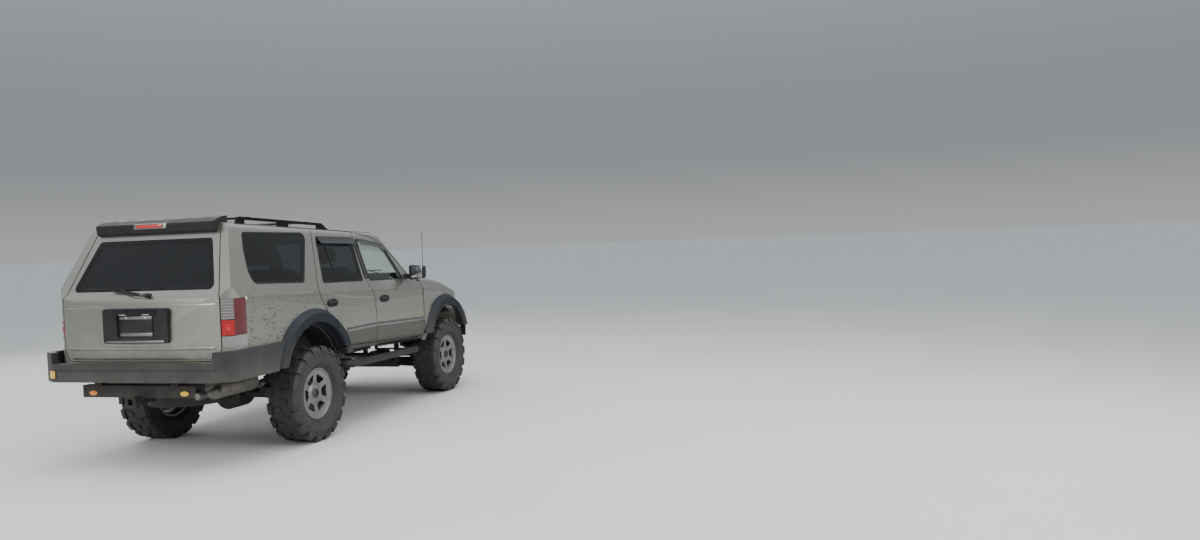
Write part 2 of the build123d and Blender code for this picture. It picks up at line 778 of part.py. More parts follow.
# Bonnet hinges: an arm on a pin across a slot in the cowl, on each side
hood_x, hood_z = rear(HOOD_HINGE[0]), up(HOOD_HINGE[1])
arm_inner, arm_outer = HOOD_HINGE[2:]
hinge_slot = block(
    hood_x - KNUCKLE_RADIUS - KNUCKLE_SPACE,
    front(CABIN_FRONT) + 1,
    arm_inner - KNUCKLE_SPACE,
    arm_outer + KNUCKLE_SPACE,
    hood_z - 2 * KNUCKLE_WEB,
    hood_z + KNUCKLE_WEB,
)
hinge_pin = wheel_disc(hood_x, hood_z, KNUCKLE_PIN, arm_inner - 2 * KNUCKLE_EAR, arm_outer + 2 * KNUCKLE_EAR)
hinge_arm = cut(
    joined(
        wheel_disc(hood_x, hood_z, KNUCKLE_RADIUS, arm_inner, arm_outer),
        block(hood_x, front(CABIN_FRONT) + 60, arm_inner, arm_outer, hood_z - KNUCKLE_WEB, hood_z + 1),
    ),
    wheel_disc(hood_x, hood_z, KNUCKLE_PIN + SEAT_FIT, arm_inner - 1, arm_outer + 1),
)
bulkhead = joined(cut(both(bulkhead_half), both(hinge_slot)), both(hinge_pin))
save(roof_panel, "roof_panel")
save(side_panel, "side_panel_right")
save(mirrored(side_panel), "side_panel_left")

# Fixed glass: windscreen and the two quarter windows
windscreen = common(
    pane(cross_cut(WINDSCREEN, front(-1350), front(-400), -SEAT_FIT)),
    block(front(-1300), front(-400), -SIDE_Y, SIDE_Y, up(1360), up(1800)),
)
quarter_glass = pane(side_cut(QUARTER_WINDOW, -SEAT_FIT))
save(joined(windscreen, quarter_glass, mirrored(quarter_glass)), "fixed_glass")


def arch_liner(which, inner_y, outer_y, base, growth):
    """A cup over a right-hand wheel: a curved skin closed on its inner side."""
    x, z, radius = ARCHES[which]
    radius += growth
    cup = cut(
        wheel_disc(x, z, radius, -outer_y, -inner_y),
        wheel_disc(x, z, radius - LINER_WALL, -outer_y, -inner_y - LINER_WALL),
    )
    return common(cup, block(x - radius, x + radius, -outer_y, -inner_y, base, z + radius))


# Floor pan with the rear wheel housings and the sill under the tailgate
REAR_LINER_Y = 545.0
FLOOR_EDGE_Y = 722.0
SILL_WEB_Y = 708.0
SILL_WEB = [(520, 700), (520, 776), (1990, 776), (1990, 672)]
SILL_FOOT = [(520, 700), (520, 745), (1990, 700), (1990, 672)]
FRONT_LINER_Y = 385.0
floor_base = up(FLOOR_HEIGHT - FLOOR_THICKNESS)
floor_plate = common(
    block(rear(-1200), front(0), -FLOOR_EDGE_Y, FLOOR_EDGE_Y, floor_base, up(FLOOR_HEIGHT)),
    FLOOR_LIMIT,
)
sill_web = side_prism([(rear(s), up(h)) for s, h in SILL_WEB], 0, -SILL_WEB_Y, -SILL_WEB_Y + LINER_WALL)
sill_foot = side_prism([(rear(s), up(h)) for s, h in SILL_FOOT], 0, -SIDE_Y, -SILL_WEB_Y + LINER_WALL)
sill = joined(sill_web, common(sill_foot, FLOOR_LIMIT))
rear_x, rear_z, rear_radius = ARCHES["rear"]
housing_bore = wheel_disc(
    rear_x, rear_z, rear_radius - LINER_GAP - LINER_WALL, -SIDE_Y, -REAR_LINER_Y - LINER_WALL
)
floor_plate = cut(floor_plate, housing_bore, mirrored(housing_bore))
rear_liner = arch_liner("rear", REAR_LINER_Y, 830.0, floor_base, -LINER_GAP)
floor_pan = joined(floor_plate, rear_liner, mirrored(rear_liner), sill, mirrored(sill), rear_sill)
save(floor_pan, "floor_pan")

# Bulkhead and the engine bay's inner walls
INNER_WING_BASE = 775.0
front_liner = common(
    arch_liner("front", FRONT_LINER_Y, SIDE_Y, up(INNER_WING_BASE), LINER_WALL),
    nose_form(PANEL_WALL + SEAT_FIT),
)
wing_wall = block(
    front(CABIN_FRONT),
    front(LAMP_START),
    -FRONT_LINER_Y - LINER_WALL,
    -FRONT_LINER_Y,
    up(INNER_WING_BASE),
    up(980),
)
inner_wing = joined(front_liner, wing_wall)
save(joined(bulkhead, inner_wing, mirrored(inner_wing)), "bulkhead")

# Bonnet, wings and nose panel
NOSE_SEAM_Y = 600.0
under_bumper = block(front(380), front(FRONT_OVERHANG), -SIDE_Y, SIDE_Y, up(200), up(896))
nose_panels = cut(
    NOSE_SKIN, hood_cut(HOOD_GAP), front_band(), arch_cut("front"), mirrored(arch_cut("front")), under_bumper
)
save(joined(common(NOSE_SKIN, hood_cut()), both(hinge_arm)), "hood")
nose_centre = block(front(300), front(FRONT_OVERHANG), -NOSE_SEAM_Y, NOSE_SEAM_Y, up(900), up(1300))
save(common(nose_panels, nose_centre), "nose_panel")
wings = cut(nose_panels, nose_centre)
front_wing = common(wings, block(front(-700), front(FRONT_OVERHANG), -SIDE_Y - 50, 0, up(300), up(1600)))
front_wing = joined(front_wing, *hinge_ears["front"])
save(front_wing, "front_wing_right")
save(mirrored(front_wing), "front_wing_left")

# Grille with open slots, and wrap-round headlamps beside it
GRILLE_Y = 405.0
BAND_DEPTH = 85.0
SLOT_HEIGHT = 22.0
SLOT_PITCH = 36.0
SLOT_COUNT = 4
with BuildPart() as band_back:
    with Locations((-BAND_DEPTH, 0, 0)):
        add(NOSE)
band = cut(NOSE, band_back.part)
grille_bars = [
    block(
        front(622),
        front(FRONT_OVERHANG),
        -GRILLE_Y + 14,
        GRILLE_Y - 14,
        up(978) + SLOT_PITCH * (row - (SLOT_COUNT - 1) / 2) - SLOT_HEIGHT / 2,
        up(978) + SLOT_PITCH * (row - (SLOT_COUNT - 1) / 2) + SLOT_HEIGHT / 2,
    )
    for row in range(SLOT_COUNT)
]
grille_zone = block(front(300), front(FRONT_OVERHANG), -GRILLE_Y, GRILLE_Y, up(800), up(1200))
grille = cut(common(band, front_band(-SEAT_FIT), grille_zone), *grille_bars)
save(grille, "grille")
lamp_zone = block(front(300), front(FRONT_OVERHANG), -SIDE_Y, -GRILLE_Y - SEAT_FIT, up(800), up(1200))
headlamp = common(band, front_band(-SEAT_FIT), lamp_zone)
save(joined(headlamp, mirrored(headlamp)), "headlamps")

# Bumpers. Columns: station, half width, corner radius
FRONT_BUMPER = [(400, 886, 0), (560, 868, 150), (742, 560, 300), (790, 200, 300)]
FRONT_BUMPER_HEIGHTS = (578.0, 882.0)
REAR_BUMPER = [(-480, 889, 0), (-1140, 889, 60), (-1228, 740, 60)]
REAR_BUMPER_HEIGHTS = (700.0, 845.0, 932.0)
BUMPER_WALL = 55.0
BUMPER_WING_Y = 752.0


def bumper_plan(rows, datum, growth=0.0):
    """A symmetric bumper outline from above, as points and corner radii."""
    half = [(datum + s, y) for s, y, _ in rows]
    radii = [r for _, _, r in rows]
    return half + [(x, -y) for x, y in reversed(half)], radii + radii[::-1]


points, radii = bumper_plan(FRONT_BUMPER, FRONT_AXLE_X)
front_low, front_high = FRONT_BUMPER_HEIGHTS
front_bumper = plan_prism(points, radii, up(front_low), up(front_high))
bumper_hollow = joined(
    plan_prism(points, radii, up(front_low), up(front_high), -BUMPER_WALL),
    block(front(390), front(400) + BUMPER_WALL + 1, -886 + BUMPER_WALL, 886 - BUMPER_WALL, up(front_low), up(front_high)),
)
front_x, front_z, front_radius = ARCHES["front"]
flare_space = wheel_disc(front_x, front_z, front_radius + FLARE_WIDTH + SEAT_FIT, -SIDE_Y - 60, SIDE_Y + 60)
air_slot = block(front(600), front(FRONT_OVERHANG), -360, 360, up(front_low) + 70, up(front_low) + 150)
front_bumper = cut(front_bumper, bumper_hollow, flare_space, air_slot)
save(front_bumper, "front_bumper")

points, radii = bumper_plan(REAR_BUMPER, REAR_AXLE_X)
rear_low, rear_step, rear_high = REAR_BUMPER_HEIGHTS
rear_hollow = joined(
    plan_prism(points, radii, up(rear_low), up(rear_high), -BUMPER_WALL),
    block(rear(-480) - BUMPER_WALL - 1, rear(-470), -889 + BUMPER_WALL, 889 - BUMPER_WALL, up(rear_low), up(rear_high)),
)
rear_flare_space = wheel_disc(rear_x, rear_z, rear_radius + FLARE_WIDTH + SEAT_FIT, -SIDE_Y - 60, SIDE_Y + 60)
rear_bumper = cut(
    plan_prism(points, radii, up(rear_low), up(rear_high)),
    rear_hollow,
    rear_flare_space,
    block(rear(-1300), rear(-400), -BUMPER_WING_Y, BUMPER_WING_Y, up(rear_step), up(rear_high)),
    CABIN_CLEAR,
)
save(rear_bumper, "rear_bumper")

# Roof rack: two rails on feet, joined by two bars
RACK_Y = 580.0
RACK_RAIL = 26.0
RACK_TOP = [(-650, 1900, 0), (-610, 1974, 20), (600, 1925, 20), (725, 1855, 0)]
RACK_BAYS = ((-540, -70), (70, 540))
RACK_BARS = (-450.0, 400.0)
RACK_BAR_LENGTH = 46.0
RACK_BAR_HEIGHT = 18.0
RACK_BAR_TOP = 1973.0
points = [(rear(s), up(h)) for s, h, _ in RACK_TOP] + [(rear(725), up(1700)), (rear(-650), up(1700))]
rail = side_prism(points, [r for _, _, r in RACK_TOP] + [0, 0], -RACK_Y - RACK_RAIL / 2, -RACK_Y + RACK_RAIL / 2)
rail_bays = [
    side_prism(
        [
            (rear(start), up(1700)),
            (rear(end), up(1700)),
            (rear(end), up(1926 - 0.039 * end)),
            (rear(start), up(1926 - 0.039 * start)),
        ],
        0,
        -RACK_Y - RACK_RAIL,
        -RACK_Y + RACK_RAIL,
    )
    for start, end in RACK_BAYS
]
rail = cut(rail, CABIN_CLEAR, *rail_bays)
bars = [
    block(
        rear(s) - RACK_BAR_LENGTH / 2,
        rear(s) + RACK_BAR_LENGTH / 2,
        -RACK_Y + RACK_RAIL / 2,
        RACK_Y - RACK_RAIL / 2,
        up(RACK_BAR_TOP - RAKE * (s + 450)) - RACK_BAR_HEIGHT,
        up(RACK_BAR_TOP - RAKE * (s + 450)),
    )
    for s in RACK_BARS
]
save(joined(rail, mirrored(rail), *bars), "roof_rack")

# Ladder frame: two rails, cross members, body mounts, and brackets for the suspension
RAIL_REAR = -1173.0
MEMBER_STEP = 10.0
CROSS_MEMBERS = ((-1120, 60), (-560, 70), (420, 70), (1180, 90), (3120, 70))
BODY_MOUNTS = (-960, -560, 620, 1300, 1860)
rail_low, rail_high = up(RAIL_BASE), up(RAIL_BASE + RAIL_HEIGHT)
LINK_BRACKET = 560.0
ARM_BEAM = (200.0, 25.0, 300.0, 360.0)
SPRING_TOWER = (-75.0, 455.0)
UPPER_PIVOT = (390.0, 560.0)
LOWER_PIVOT = (300.0, 330.0)
beam_x, beam_half, beam_low, beam_high = ARM_BEAM
tower_x, tower_y = SPRING_TOWER
rail_inner = RAIL_Y - RAIL_WIDTH / 2
rail_parts = [
    block(
        rear(RAIL_REAR) + SEAT_FIT,
        front(FRONT_OVERHANG),
        -RAIL_Y - RAIL_WIDTH / 2,
        -rail_inner,
        rail_low,
        rail_high,
    ),
    block(rear(LINK_BRACKET), rear(LINK_BRACKET) + 30, -RAIL_Y - 30, -RAIL_Y + 30, up(560), rail_low + 5),
    block(front(tower_x) - 50, front(tower_x) + 50, -tower_y - 45, -RAIL_Y, up(690), up(728)),
]
rail_parts += [
    rod((rear(s), -RAIL_Y, rail_high - 5), (rear(s), -RAIL_Y, floor_base - SEAT_FIT), 30) for s in BODY_MOUNTS
]
for end in (-1, 1):
    x = front(end * beam_x)
    rail_parts.append(
        block(
            x + min(end * 5, end * beam_half),
            x + max(end * 5, end * beam_half),
            -UPPER_PIVOT[0] - 14,
            -UPPER_PIVOT[0] + 18,
            up(UPPER_PIVOT[1] - 20),
            rail_low + 5,
        )
    )
points, radii = bumper_plan(FRONT_BUMPER, FRONT_AXLE_X)
frame_limit = joined(
    block(rear(-1300), front(500), -SIDE_Y, SIDE_Y, 0, up(1000)),
    plan_prism(points, radii, 0, up(1000), -BUMPER_WALL - SEAT_FIT),
)
frame_rail = common(joined(*rail_parts), frame_limit)
save(frame_rail, "frame_rail_right")
save(mirrored(frame_rail), "frame_rail_left")

# Cross members between the rails, and the two beams under them that carry the wishbones
member_y = rail_inner - SEAT_FIT
members = [
    block(rear(s) - w / 2, rear(s) + w / 2, -member_y, member_y, rail_low + MEMBER_STEP, rail_high - MEMBER_STEP)
    for s, w in CROSS_MEMBERS
]
for end in (-1, 1):
    x = front(end * beam_x)
    reach = LOWER_PIVOT[0] + 35
    members.append(block(x - beam_half, x + beam_half, -reach, reach, up(beam_low), up(beam_high)))
    for near, far in ((-reach, 40 - reach), (reach - 40, reach)):
        members.append(block(x - beam_half, x + beam_half, near, far, up(beam_low), rail_low - SEAT_FIT))
save(joined(*members), "cross_members")

# Tow hitch: a cross bar under the rails and a square socket with a pin hole
HITCH_BAR = (-1150.0, -1085.0, 530.0, 571.0)
HITCH_CENTRE = 549.0
bar_start, bar_end, bar_y, bar_low = HITCH_BAR
mouth = rear(-REAR_OVERHANG)
centre_z = up(HITCH_CENTRE)
half_tube, half_socket = RECEIVER_SIZE / 2, SOCKET_SIZE / 2
hitch_bar = block(rear(bar_start), rear(bar_end), -bar_y, bar_y, up(bar_low), rail_low - SEAT_FIT)
receiver = block(mouth, mouth + RECEIVER_LENGTH, -half_tube, half_tube, centre_z - half_tube, centre_z + half_tube)
socket = block(
    mouth, mouth + RECEIVER_LENGTH - 20, -half_socket, half_socket, centre_z - half_socket, centre_z + half_socket
)
pin_x = mouth + HITCH_PIN_INSET
pin_hole = rod((pin_x, -RECEIVER_SIZE, centre_z), (pin_x, RECEIVER_SIZE, centre_z), HITCH_PIN_RADIUS)
save(cut(joined(hitch_bar, receiver), socket, pin_hole), "tow_hitch")

# Side steps: a tube along each sill, bent in at its ends and held by brackets
STEP_RADIUS = 36.0
STEP_Y = 835.0
STEP_BRACKETS = (640.0, 1250.0, 1860.0)
with BuildPart() as step:
    with BuildLine():
        FilletPolyline(
            (rear(510), -640, up(640)),
            (rear(590), -STEP_Y, up(590)),
            (rear(1960), -STEP_Y, up(566)),
            (rear(2040), -640, up(616)),
            radius=90,
        )
    with BuildSketch(Plane(origin=(rear(510), -640, up(640)), z_dir=(80, -STEP_Y + 640, -50))):
        Circle(STEP_RADIUS)
    sweep()
step_arms = [
    block(
        rear(s) - 25,
        rear(s) + 25,
        -STEP_Y,
        -RAIL_Y - RAIL_WIDTH / 2 - SEAT_FIT,
        up(598) - 0.0175 * (s - 590),
        up(612) - 0.0175 * (s - 590),
    )
    for s in STEP_BRACKETS
]
step_feet = [
    block(
        rear(s) - 25,
        rear(s) + 25,
        -RAIL_Y - RAIL_WIDTH / 2 - 14,
        -RAIL_Y - RAIL_WIDTH / 2 - SEAT_FIT,
        up(598) - 0.0175 * (s - 590),
        rail_high - 15,
    )
    for s in STEP_BRACKETS
]
side_step = joined(step.part, *step_arms, *step_feet)
save(joined(side_step, mirrored(side_step)), "side_steps")

# Seats, dashboard and steering wheel. Side outlines: station, height
FRONT_SEAT = [
    (1080, 800),
    (1515, 800),
    (1560, 915),
    (1545, 965),
    (1185, 950),
    (1020, 1480),
    (985, 1690),
    (900, 1690),
    (905, 1480),
    (1045, 960),
]
REAR_SEAT = [(300, 800), (740, 800), (785, 960), (770, 1010), (410, 985), (270, 1520), (180, 1520), (290, 950)]
SEAT_Y = (125.0, 625.0)
REAR_SEAT_Y = 540.0
seat = side_prism([(rear(s), up(h) + SEAT_FIT) for s, h in FRONT_SEAT], 30, -SEAT_Y[1], -SEAT_Y[0])
bench = side_prism([(rear(s), up(h) + SEAT_FIT) for s, h in REAR_SEAT], 30, -REAR_SEAT_Y, REAR_SEAT_Y)
save(joined(seat, mirrored(seat)), "front_seats")
save(bench, "rear_seat")

DASHBOARD = [(1790, 1000), (1765, 1150), (1800, 1262), (2100, 1262), (2100, 1000)]
STEERING_CENTRE = (1600.0, 372.0, 1185.0)
STEERING_RADIUS = 185.0
COLUMN_RISE = 0.45
dash = common(
    side_prism([(rear(s), up(h)) for s, h in DASHBOARD], 0, -FLOOR_EDGE_Y, FLOOR_EDGE_Y),
    FLOOR_LIMIT,
)
hub = Vector(rear(STEERING_CENTRE[0]), STEERING_CENTRE[1], up(STEERING_CENTRE[2]))
lean = Vector(1, 0, -COLUMN_RISE).normalized()
with BuildPart() as wheel_rim:
    with BuildSketch(Plane(origin=hub, x_dir=(0, 1, 0), z_dir=lean)):
        Circle(STEERING_RADIUS + 15)
        Circle(STEERING_RADIUS - 15, mode=Mode.SUBTRACT)
        Rectangle(2 * STEERING_RADIUS, 46)
        Circle(60)
    extrude(amount=26)
column = rod(tuple(hub), tuple(hub + lean * 300), 30)
save(joined(dash, wheel_rim.part, column), "dashboard")

# Engine, gearbox and transfer case as plain blocks at their real place
ENGINE = (-440.0, 240.0, 250.0, 600.0, 1085.0)
GEARBOX = (1225.3, 2240.0, 120.0, 540.0, 740.0)
TRANSFER_CASE = (275.0, -200.0, 140.0, 500.0, 620.0)
engine_rear, engine_front, engine_y, engine_low, engine_high = ENGINE
box_rear, box_front, box_y, box_low, box_high = GEARBOX
case_length, case_right, case_left, case_low, case_high = TRANSFER_CASE
case_front = box_rear + case_length
engine = [
    block(front(engine_rear), front(engine_front), -engine_y, engine_y, up(engine_low), up(engine_high)),
    block(rear(box_rear), rear(box_front), -box_y, box_y, up(box_low), up(box_high)),
    block(rear(box_rear), rear(case_front), case_right, case_left, up(case_low), up(case_high)),
]
mount_y = rail_inner - SEAT_FIT
engine += [
    block(front(-80), front(0), y_low, y_high, rail_low + 10, rail_high - 20)
    for y_low, y_high in ((-mount_y, -engine_y + 5), (engine_y - 5, mount_y))
]
save(joined(*engine), "engine_block")
radiator_seat = rail_high - MEMBER_STEP + SEAT_FIT
save(block(rear(3095), rear(3145), -rail_inner + 20, rail_inner - 20, radiator_seat, up(1010)), "radiator")

SPINDLE = 24.0
SPINDLE_END = WHEEL_Y + 12.0

# Rear axle with its drums, spring seats and trailing links
AXLE_TUBE = 42.0
DIFF_RADIUS = 135.0
PINION_END = 230.0
DRUM_RADIUS = 140.0
DRUM_Y = (640.0, 705.0)
SEAT_TOP = AXLE_Z + 60.0
axle_parts = [
    wheel_disc(REAR_AXLE_X, AXLE_Z, AXLE_TUBE, -DRUM_Y[0] - 5, DRUM_Y[0] + 5),
    wheel_disc(REAR_AXLE_X, AXLE_Z, SPINDLE, -SPINDLE_END, SPINDLE_END),
    rod((rear(-95), 0, AXLE_Z), (rear(120), 0, AXLE_Z), DIFF_RADIUS),
    rod((rear(100), 0, AXLE_Z), (rear(PINION_END), 0, AXLE_Z), 60),
]
for side in (-1, 1):
    axle_parts += [
        wheel_disc(REAR_AXLE_X, AXLE_Z, DRUM_RADIUS, *sorted((side * DRUM_Y[0], side * DRUM_Y[1]))),
        block(rear(-55), rear(55), side * RAIL_Y - 55, side * RAIL_Y + 55, AXLE_Z + 20, SEAT_TOP),
        rod((rear(LINK_BRACKET) + 20, side * RAIL_Y, up(596)), (rear(20), side * 450, AXLE_Z - 10), 22),
    ]
bracket_space = block(rear(LINK_BRACKET) - SEAT_FIT, rear(LINK_BRACKET) + 60, -SIDE_Y, SIDE_Y, up(500), rail_high)
save(cut(joined(*axle_parts), bracket_space), "rear_axle")
SPRING_RADIUS = 45.0


def ribbed_column(x, y, z_low, z_high):
    """A coil spring's envelope: a column of rounded turns."""
    turns = 5
    pitch = (z_high - z_low) / (2 * turns)
    profile = [(0, z_low), (SPRING_RADIUS, z_low)]
    profile += [(SPRING_RADIUS - 14 * (row % 2), z_low + row * pitch) for row in range(1, 2 * turns)]
    profile += [(SPRING_RADIUS, z_high), (0, z_high)]
    with BuildPart() as column:
        with BuildSketch(Plane(origin=(x, y, 0), x_dir=(1, 0, 0), z_dir=(0, -1, 0))):
            with BuildLine():
                Polyline(profile, close=True)
            make_face()
        revolve(axis=Axis((x, y, 0), (0, 0, 1)), revolution_arc=360)
    return column.part


ARM_PLATE_TOP = 345.0
rear_spring = ribbed_column(REAR_AXLE_X, -RAIL_Y, SEAT_TOP + SEAT_FIT, rail_low - SEAT_FIT)
front_spring = ribbed_column(front(tower_x), -tower_y, up(ARM_PLATE_TOP) + SEAT_FIT, up(690) - SEAT_FIT)
save(joined(rear_spring, mirrored(rear_spring)), "rear_springs")
save(joined(front_spring, mirrored(front_spring)), "front_springs")

# Front suspension: wishbones, differential and drive shafts
BALL_LOW = 305.5
BALL_HIGH = 530.5
lower_y, lower_z = LOWER_PIVOT
upper_y, upper_z = UPPER_PIVOT
bar_reach = beam_x - beam_half - SEAT_FIT
arm_parts = [
    rod((front(-bar_reach), -lower_y, up(lower_z)), (front(bar_reach), -lower_y, up(lower_z)), 20),
    rod((front(-beam_x) - 5 + SEAT_FIT, -upper_y, up(upper_z)), (front(beam_x) + 5 - SEAT_FIT, -upper_y, up(upper_z)), 14),
    rod((front(0), -KINGPIN_Y, up(BALL_LOW) - 38), (front(0), -KINGPIN_Y, up(BALL_LOW)), 26),
    rod((front(0), -KINGPIN_Y, up(BALL_HIGH)), (front(0), -KINGPIN_Y, up(BALL_HIGH) + 32), 24),
    block(front(-118), front(118), -tower_y - 48, -tower_y + 48, up(ARM_PLATE_TOP) - 22, up(ARM_PLATE_TOP)),
    wheel_disc(front(0), AXLE_Z, 20, -KINGPIN_Y + 42, -60),
    wheel_disc(front(0), AXLE_Z, 34, -625, -560),
]
for end in (-1, 1):
    arm_parts += [
        rod((front(end * 165), -lower_y, up(lower_z)), (front(0), -KINGPIN_Y, up(BALL_LOW) - 23), 20),
        rod((front(end * 190), -upper_y, up(upper_z)), (front(0), -KINGPIN_Y, up(BALL_HIGH) + 16), 14),
    ]
beam_spaces = [
    block(
        front(end * beam_x) - beam_half - SEAT_FIT,
        front(end * beam_x) + beam_half + SEAT_FIT,
        -lower_y - 35 - SEAT_FIT,
        0,
        up(beam_low) - SEAT_FIT,
        rail_low,
    )
    for end in (-1, 1)
]
arms = cut(joined(*arm_parts), *beam_spaces)
front_diff = rod((front(-beam_x) + beam_half + SEAT_FIT, 0, AXLE_Z - 30), (front(100), 0, AXLE_Z - 30), 92)
save(joined(arms, mirrored(arms), front_diff), "front_suspension")

# Steered uprights, which carry the front wheels
HUB_CARRIER = (45.0, 664.0, 706.0)
carrier_radius, carrier_inner, carrier_outer = HUB_CARRIER
upright = joined(
    rod((front(0), -KINGPIN_Y, up(BALL_LOW) + STEER_PIN_GAP), (front(0), -KINGPIN_Y, up(BALL_HIGH) - STEER_PIN_GAP), 20),
    wheel_disc(front(0), AXLE_Z, carrier_radius, -carrier_outer, -carrier_inner),
    wheel_disc(front(0), AXLE_Z, SPINDLE, -SPINDLE_END, -carrier_inner),
    block(front(-140), front(-15), -690, -carrier_inner, AXLE_Z - 24, AXLE_Z - 6),
    block(front(15), front(125), -carrier_outer, -672, AXLE_Z - 30, AXLE_Z + 30),
)
save(upright, "upright_right")
save(mirrored(upright), "upright_left")

# Wheels, drawn about Z with the outer face up. Outline columns: radius, offset
BARREL = [
    (224, -103),
    (224, -96),
    (211, -96),
    (209, -62),
    (196, -50),
    (196, 50),
    (209, 62),
    (211, 96),
    (224, 96),
    (224, 103),
    (212, 103),
    (186, 62),
    (186, -52),
    (206, -103),
]
FACE = [(30, 48), (74, 48), (190, 62), (206, 94), (182, 86), (92, 70), (76, 80), (30, 80)]
HUB = [(SPINDLE + SEAT_FIT, -43), (150, -43), (150, -25), (62, -25), (62, 52), (0, 52), (0, 14), (SPINDLE + SEAT_FIT, 14)]
WINDOW = [(104, 15), (174, 22), (174, -22), (104, -15)]
TYRE_OUTER = [(0, 405), (70, 405), (116, 400), (138, 372), (144, 320), (132, 270), (108, 236), (95.7, 226)]
TYRE_INNER = [(95.7, 211.4), (62, 209.4), (76, 234), (118, 282), (129, 320), (124, 362), (104, 386), (0, 390)]
LUG = [(84, 398), (84, TYRE_RADIUS), (128, TYRE_RADIUS - 2), (TYRE_WIDTH / 2, 392), (TYRE_WIDTH / 2, 366), (134, 366)]
LUG_ARC = 12.0


def turned(outline, arc=360.0):
    """A (radius, offset) outline turned about Z, from X towards Y."""
    with BuildPart() as ring:
        with BuildSketch(Plane.XZ):
            with BuildLine():
                Polyline(outline, close=True)
            make_face()
        revolve(axis=Axis.Z, revolution_arc=arc)
    return ring.part


def placed(piece, position, rotation=(0, 0, 0)):
    """A piece moved to a position and turned about its own axes."""
    with BuildPart() as moved:
        with Locations(Location(position, rotation)):
            add(piece)
    return moved.part


window_shape = prism(
    Plane.XY,
    [(r * math.cos(math.radians(a)), r * math.sin(math.radians(a))) for r, a in WINDOW],
    12,
    120,
)
windows = [placed(window_shape, (0, 0, 0), (0, 0, spoke * 360 / SPOKE_COUNT)) for spoke in range(SPOKE_COUNT)]
rim = joined(cut(turned(FACE), *windows), turned(BARREL), turned(HUB))

profile = [(r, y) for y, r in TYRE_OUTER + TYRE_INNER]
profile += [(r, -y) for y, r in reversed(TYRE_INNER[:-1])] + [(r, -y) for y, r in reversed(TYRE_OUTER[1:])]
lug_pitch = 360 / LUG_COUNT
outer_lug = turned([(r, y) for y, r in LUG], LUG_ARC)
inner_lug = turned([(r, -y) for y, r in reversed(LUG)], LUG_ARC)
lugs = []
for index in range(LUG_COUNT):
    lugs += [
        placed(outer_lug, (0, 0, 0), (0, 0, index * lug_pitch - LUG_ARC / 2)),
        placed(inner_lug, (0, 0, 0), (0, 0, (index + 0.5) * lug_pitch - LUG_ARC / 2)),
    ]
tyre = joined(turned(profile), *lugs)

for end, x in (("rear", REAR_AXLE_X), ("front", FRONT_AXLE_X)):
    for piece, name in ((rim, "wheel"), (tyre, "tyre")):
        right = placed(piece, (x, -WHEEL_Y, AXLE_Z), (90, 0, 0))
        save(right, f"{name}_{end}_right")
        save(mirrored(right), f"{name}_{end}_left")

# Underside: fuel tank, propeller shafts, exhaust and the spare wheel
save(block(rear(480), rear(1080), 60, rail_inner - SEAT_FIT, up(500), rail_low + 20), "fuel_tank")
SHAFT_FLANGE = 14.0


def flanged_shaft(rear_end, front_end, radius, flange_radius):
    """A slanted shaft with a flange along X at each end, (x, y, z)."""
    rear_inner = (rear_end[0] + SHAFT_FLANGE, *rear_end[1:])
    front_inner = (front_end[0] - SHAFT_FLANGE, *front_end[1:])
    return joined(
        rod(rear_end, rear_inner, flange_radius),
        rod(rear_inner, front_inner, radius),
        rod(front_inner, front_end, flange_radius),
    )


rear_shaft = flanged_shaft(
    (rear(PINION_END) + SEAT_FIT, 0, AXLE_Z),
    (rear(box_rear) - SEAT_FIT, 0, up((case_low + case_high) / 2)),
    36,
    50,
)
front_shaft = flanged_shaft(
    (rear(case_front) + SEAT_FIT, -160, up((case_low + case_high) / 2)),
    (front(-beam_x - beam_half) - SEAT_FIT, -60, up(beam_high) + 30),
    24,
    34,
)
save(joined(rear_shaft, front_shaft), "propeller_shafts")
EXHAUST_RADIUS = 26.0
pipe_y = case_right - EXHAUST_RADIUS - SEAT_FIT
EXHAUST = [(1290, pipe_y, 600), (-200, pipe_y, 600), (-440, -500, 600)]
EXHAUST_TAIL = [(-890, -515, 600), (-985, -575, 598), (-1190, -580, 590)]
MUFFLER = (-905.0, -435.0, 80.0)


def bent_pipe(rows, radius, bend):
    """A round pipe along straight runs joined by bends."""
    points = [(rear(s), y, up(h)) for s, y, h in rows]
    start, second = Vector(points[0]), Vector(points[1])
    with BuildPart() as pipe:
        with BuildLine():
            FilletPolyline(points, radius=bend)
        with BuildSketch(Plane(origin=start, z_dir=second - start)):
            Circle(radius)
        sweep()
    return pipe.part


muffler_rear, muffler_front, muffler_radius = MUFFLER
exhaust = joined(
    bent_pipe(EXHAUST, EXHAUST_RADIUS, 90),
    bent_pipe(EXHAUST_TAIL, EXHAUST_RADIUS, 40),
    rod((rear(muffler_rear), -500, up(600)), (rear(muffler_front), -500, up(600)), muffler_radius),
)
save(exhaust, "exhaust")
SPARE = (-560.0, 335.0, 445.0, 655.0)
spare_s, spare_radius, spare_low, spare_high = SPARE
spare = joined(
    cut(
        rod((rear(spare_s), 0, up(spare_low)), (rear(spare_s), 0, up(spare_high)), spare_radius),
        rod((rear(spare_s), 0, up(spare_low) - 1), (rear(spare_s), 0, up(spare_high) + 1), RIM_RADIUS - 12),
    ),
    rod((rear(spare_s), 0, up(spare_low) + 60), (rear(spare_s), 0, up(spare_low) + 90), RIM_RADIUS),
    rod((rear(spare_s), 0, up(spare_low) + 60), (rear(spare_s), 0, rail_low + MEMBER_STEP - SEAT_FIT), 24),
)
save(spare, "spare_wheel")

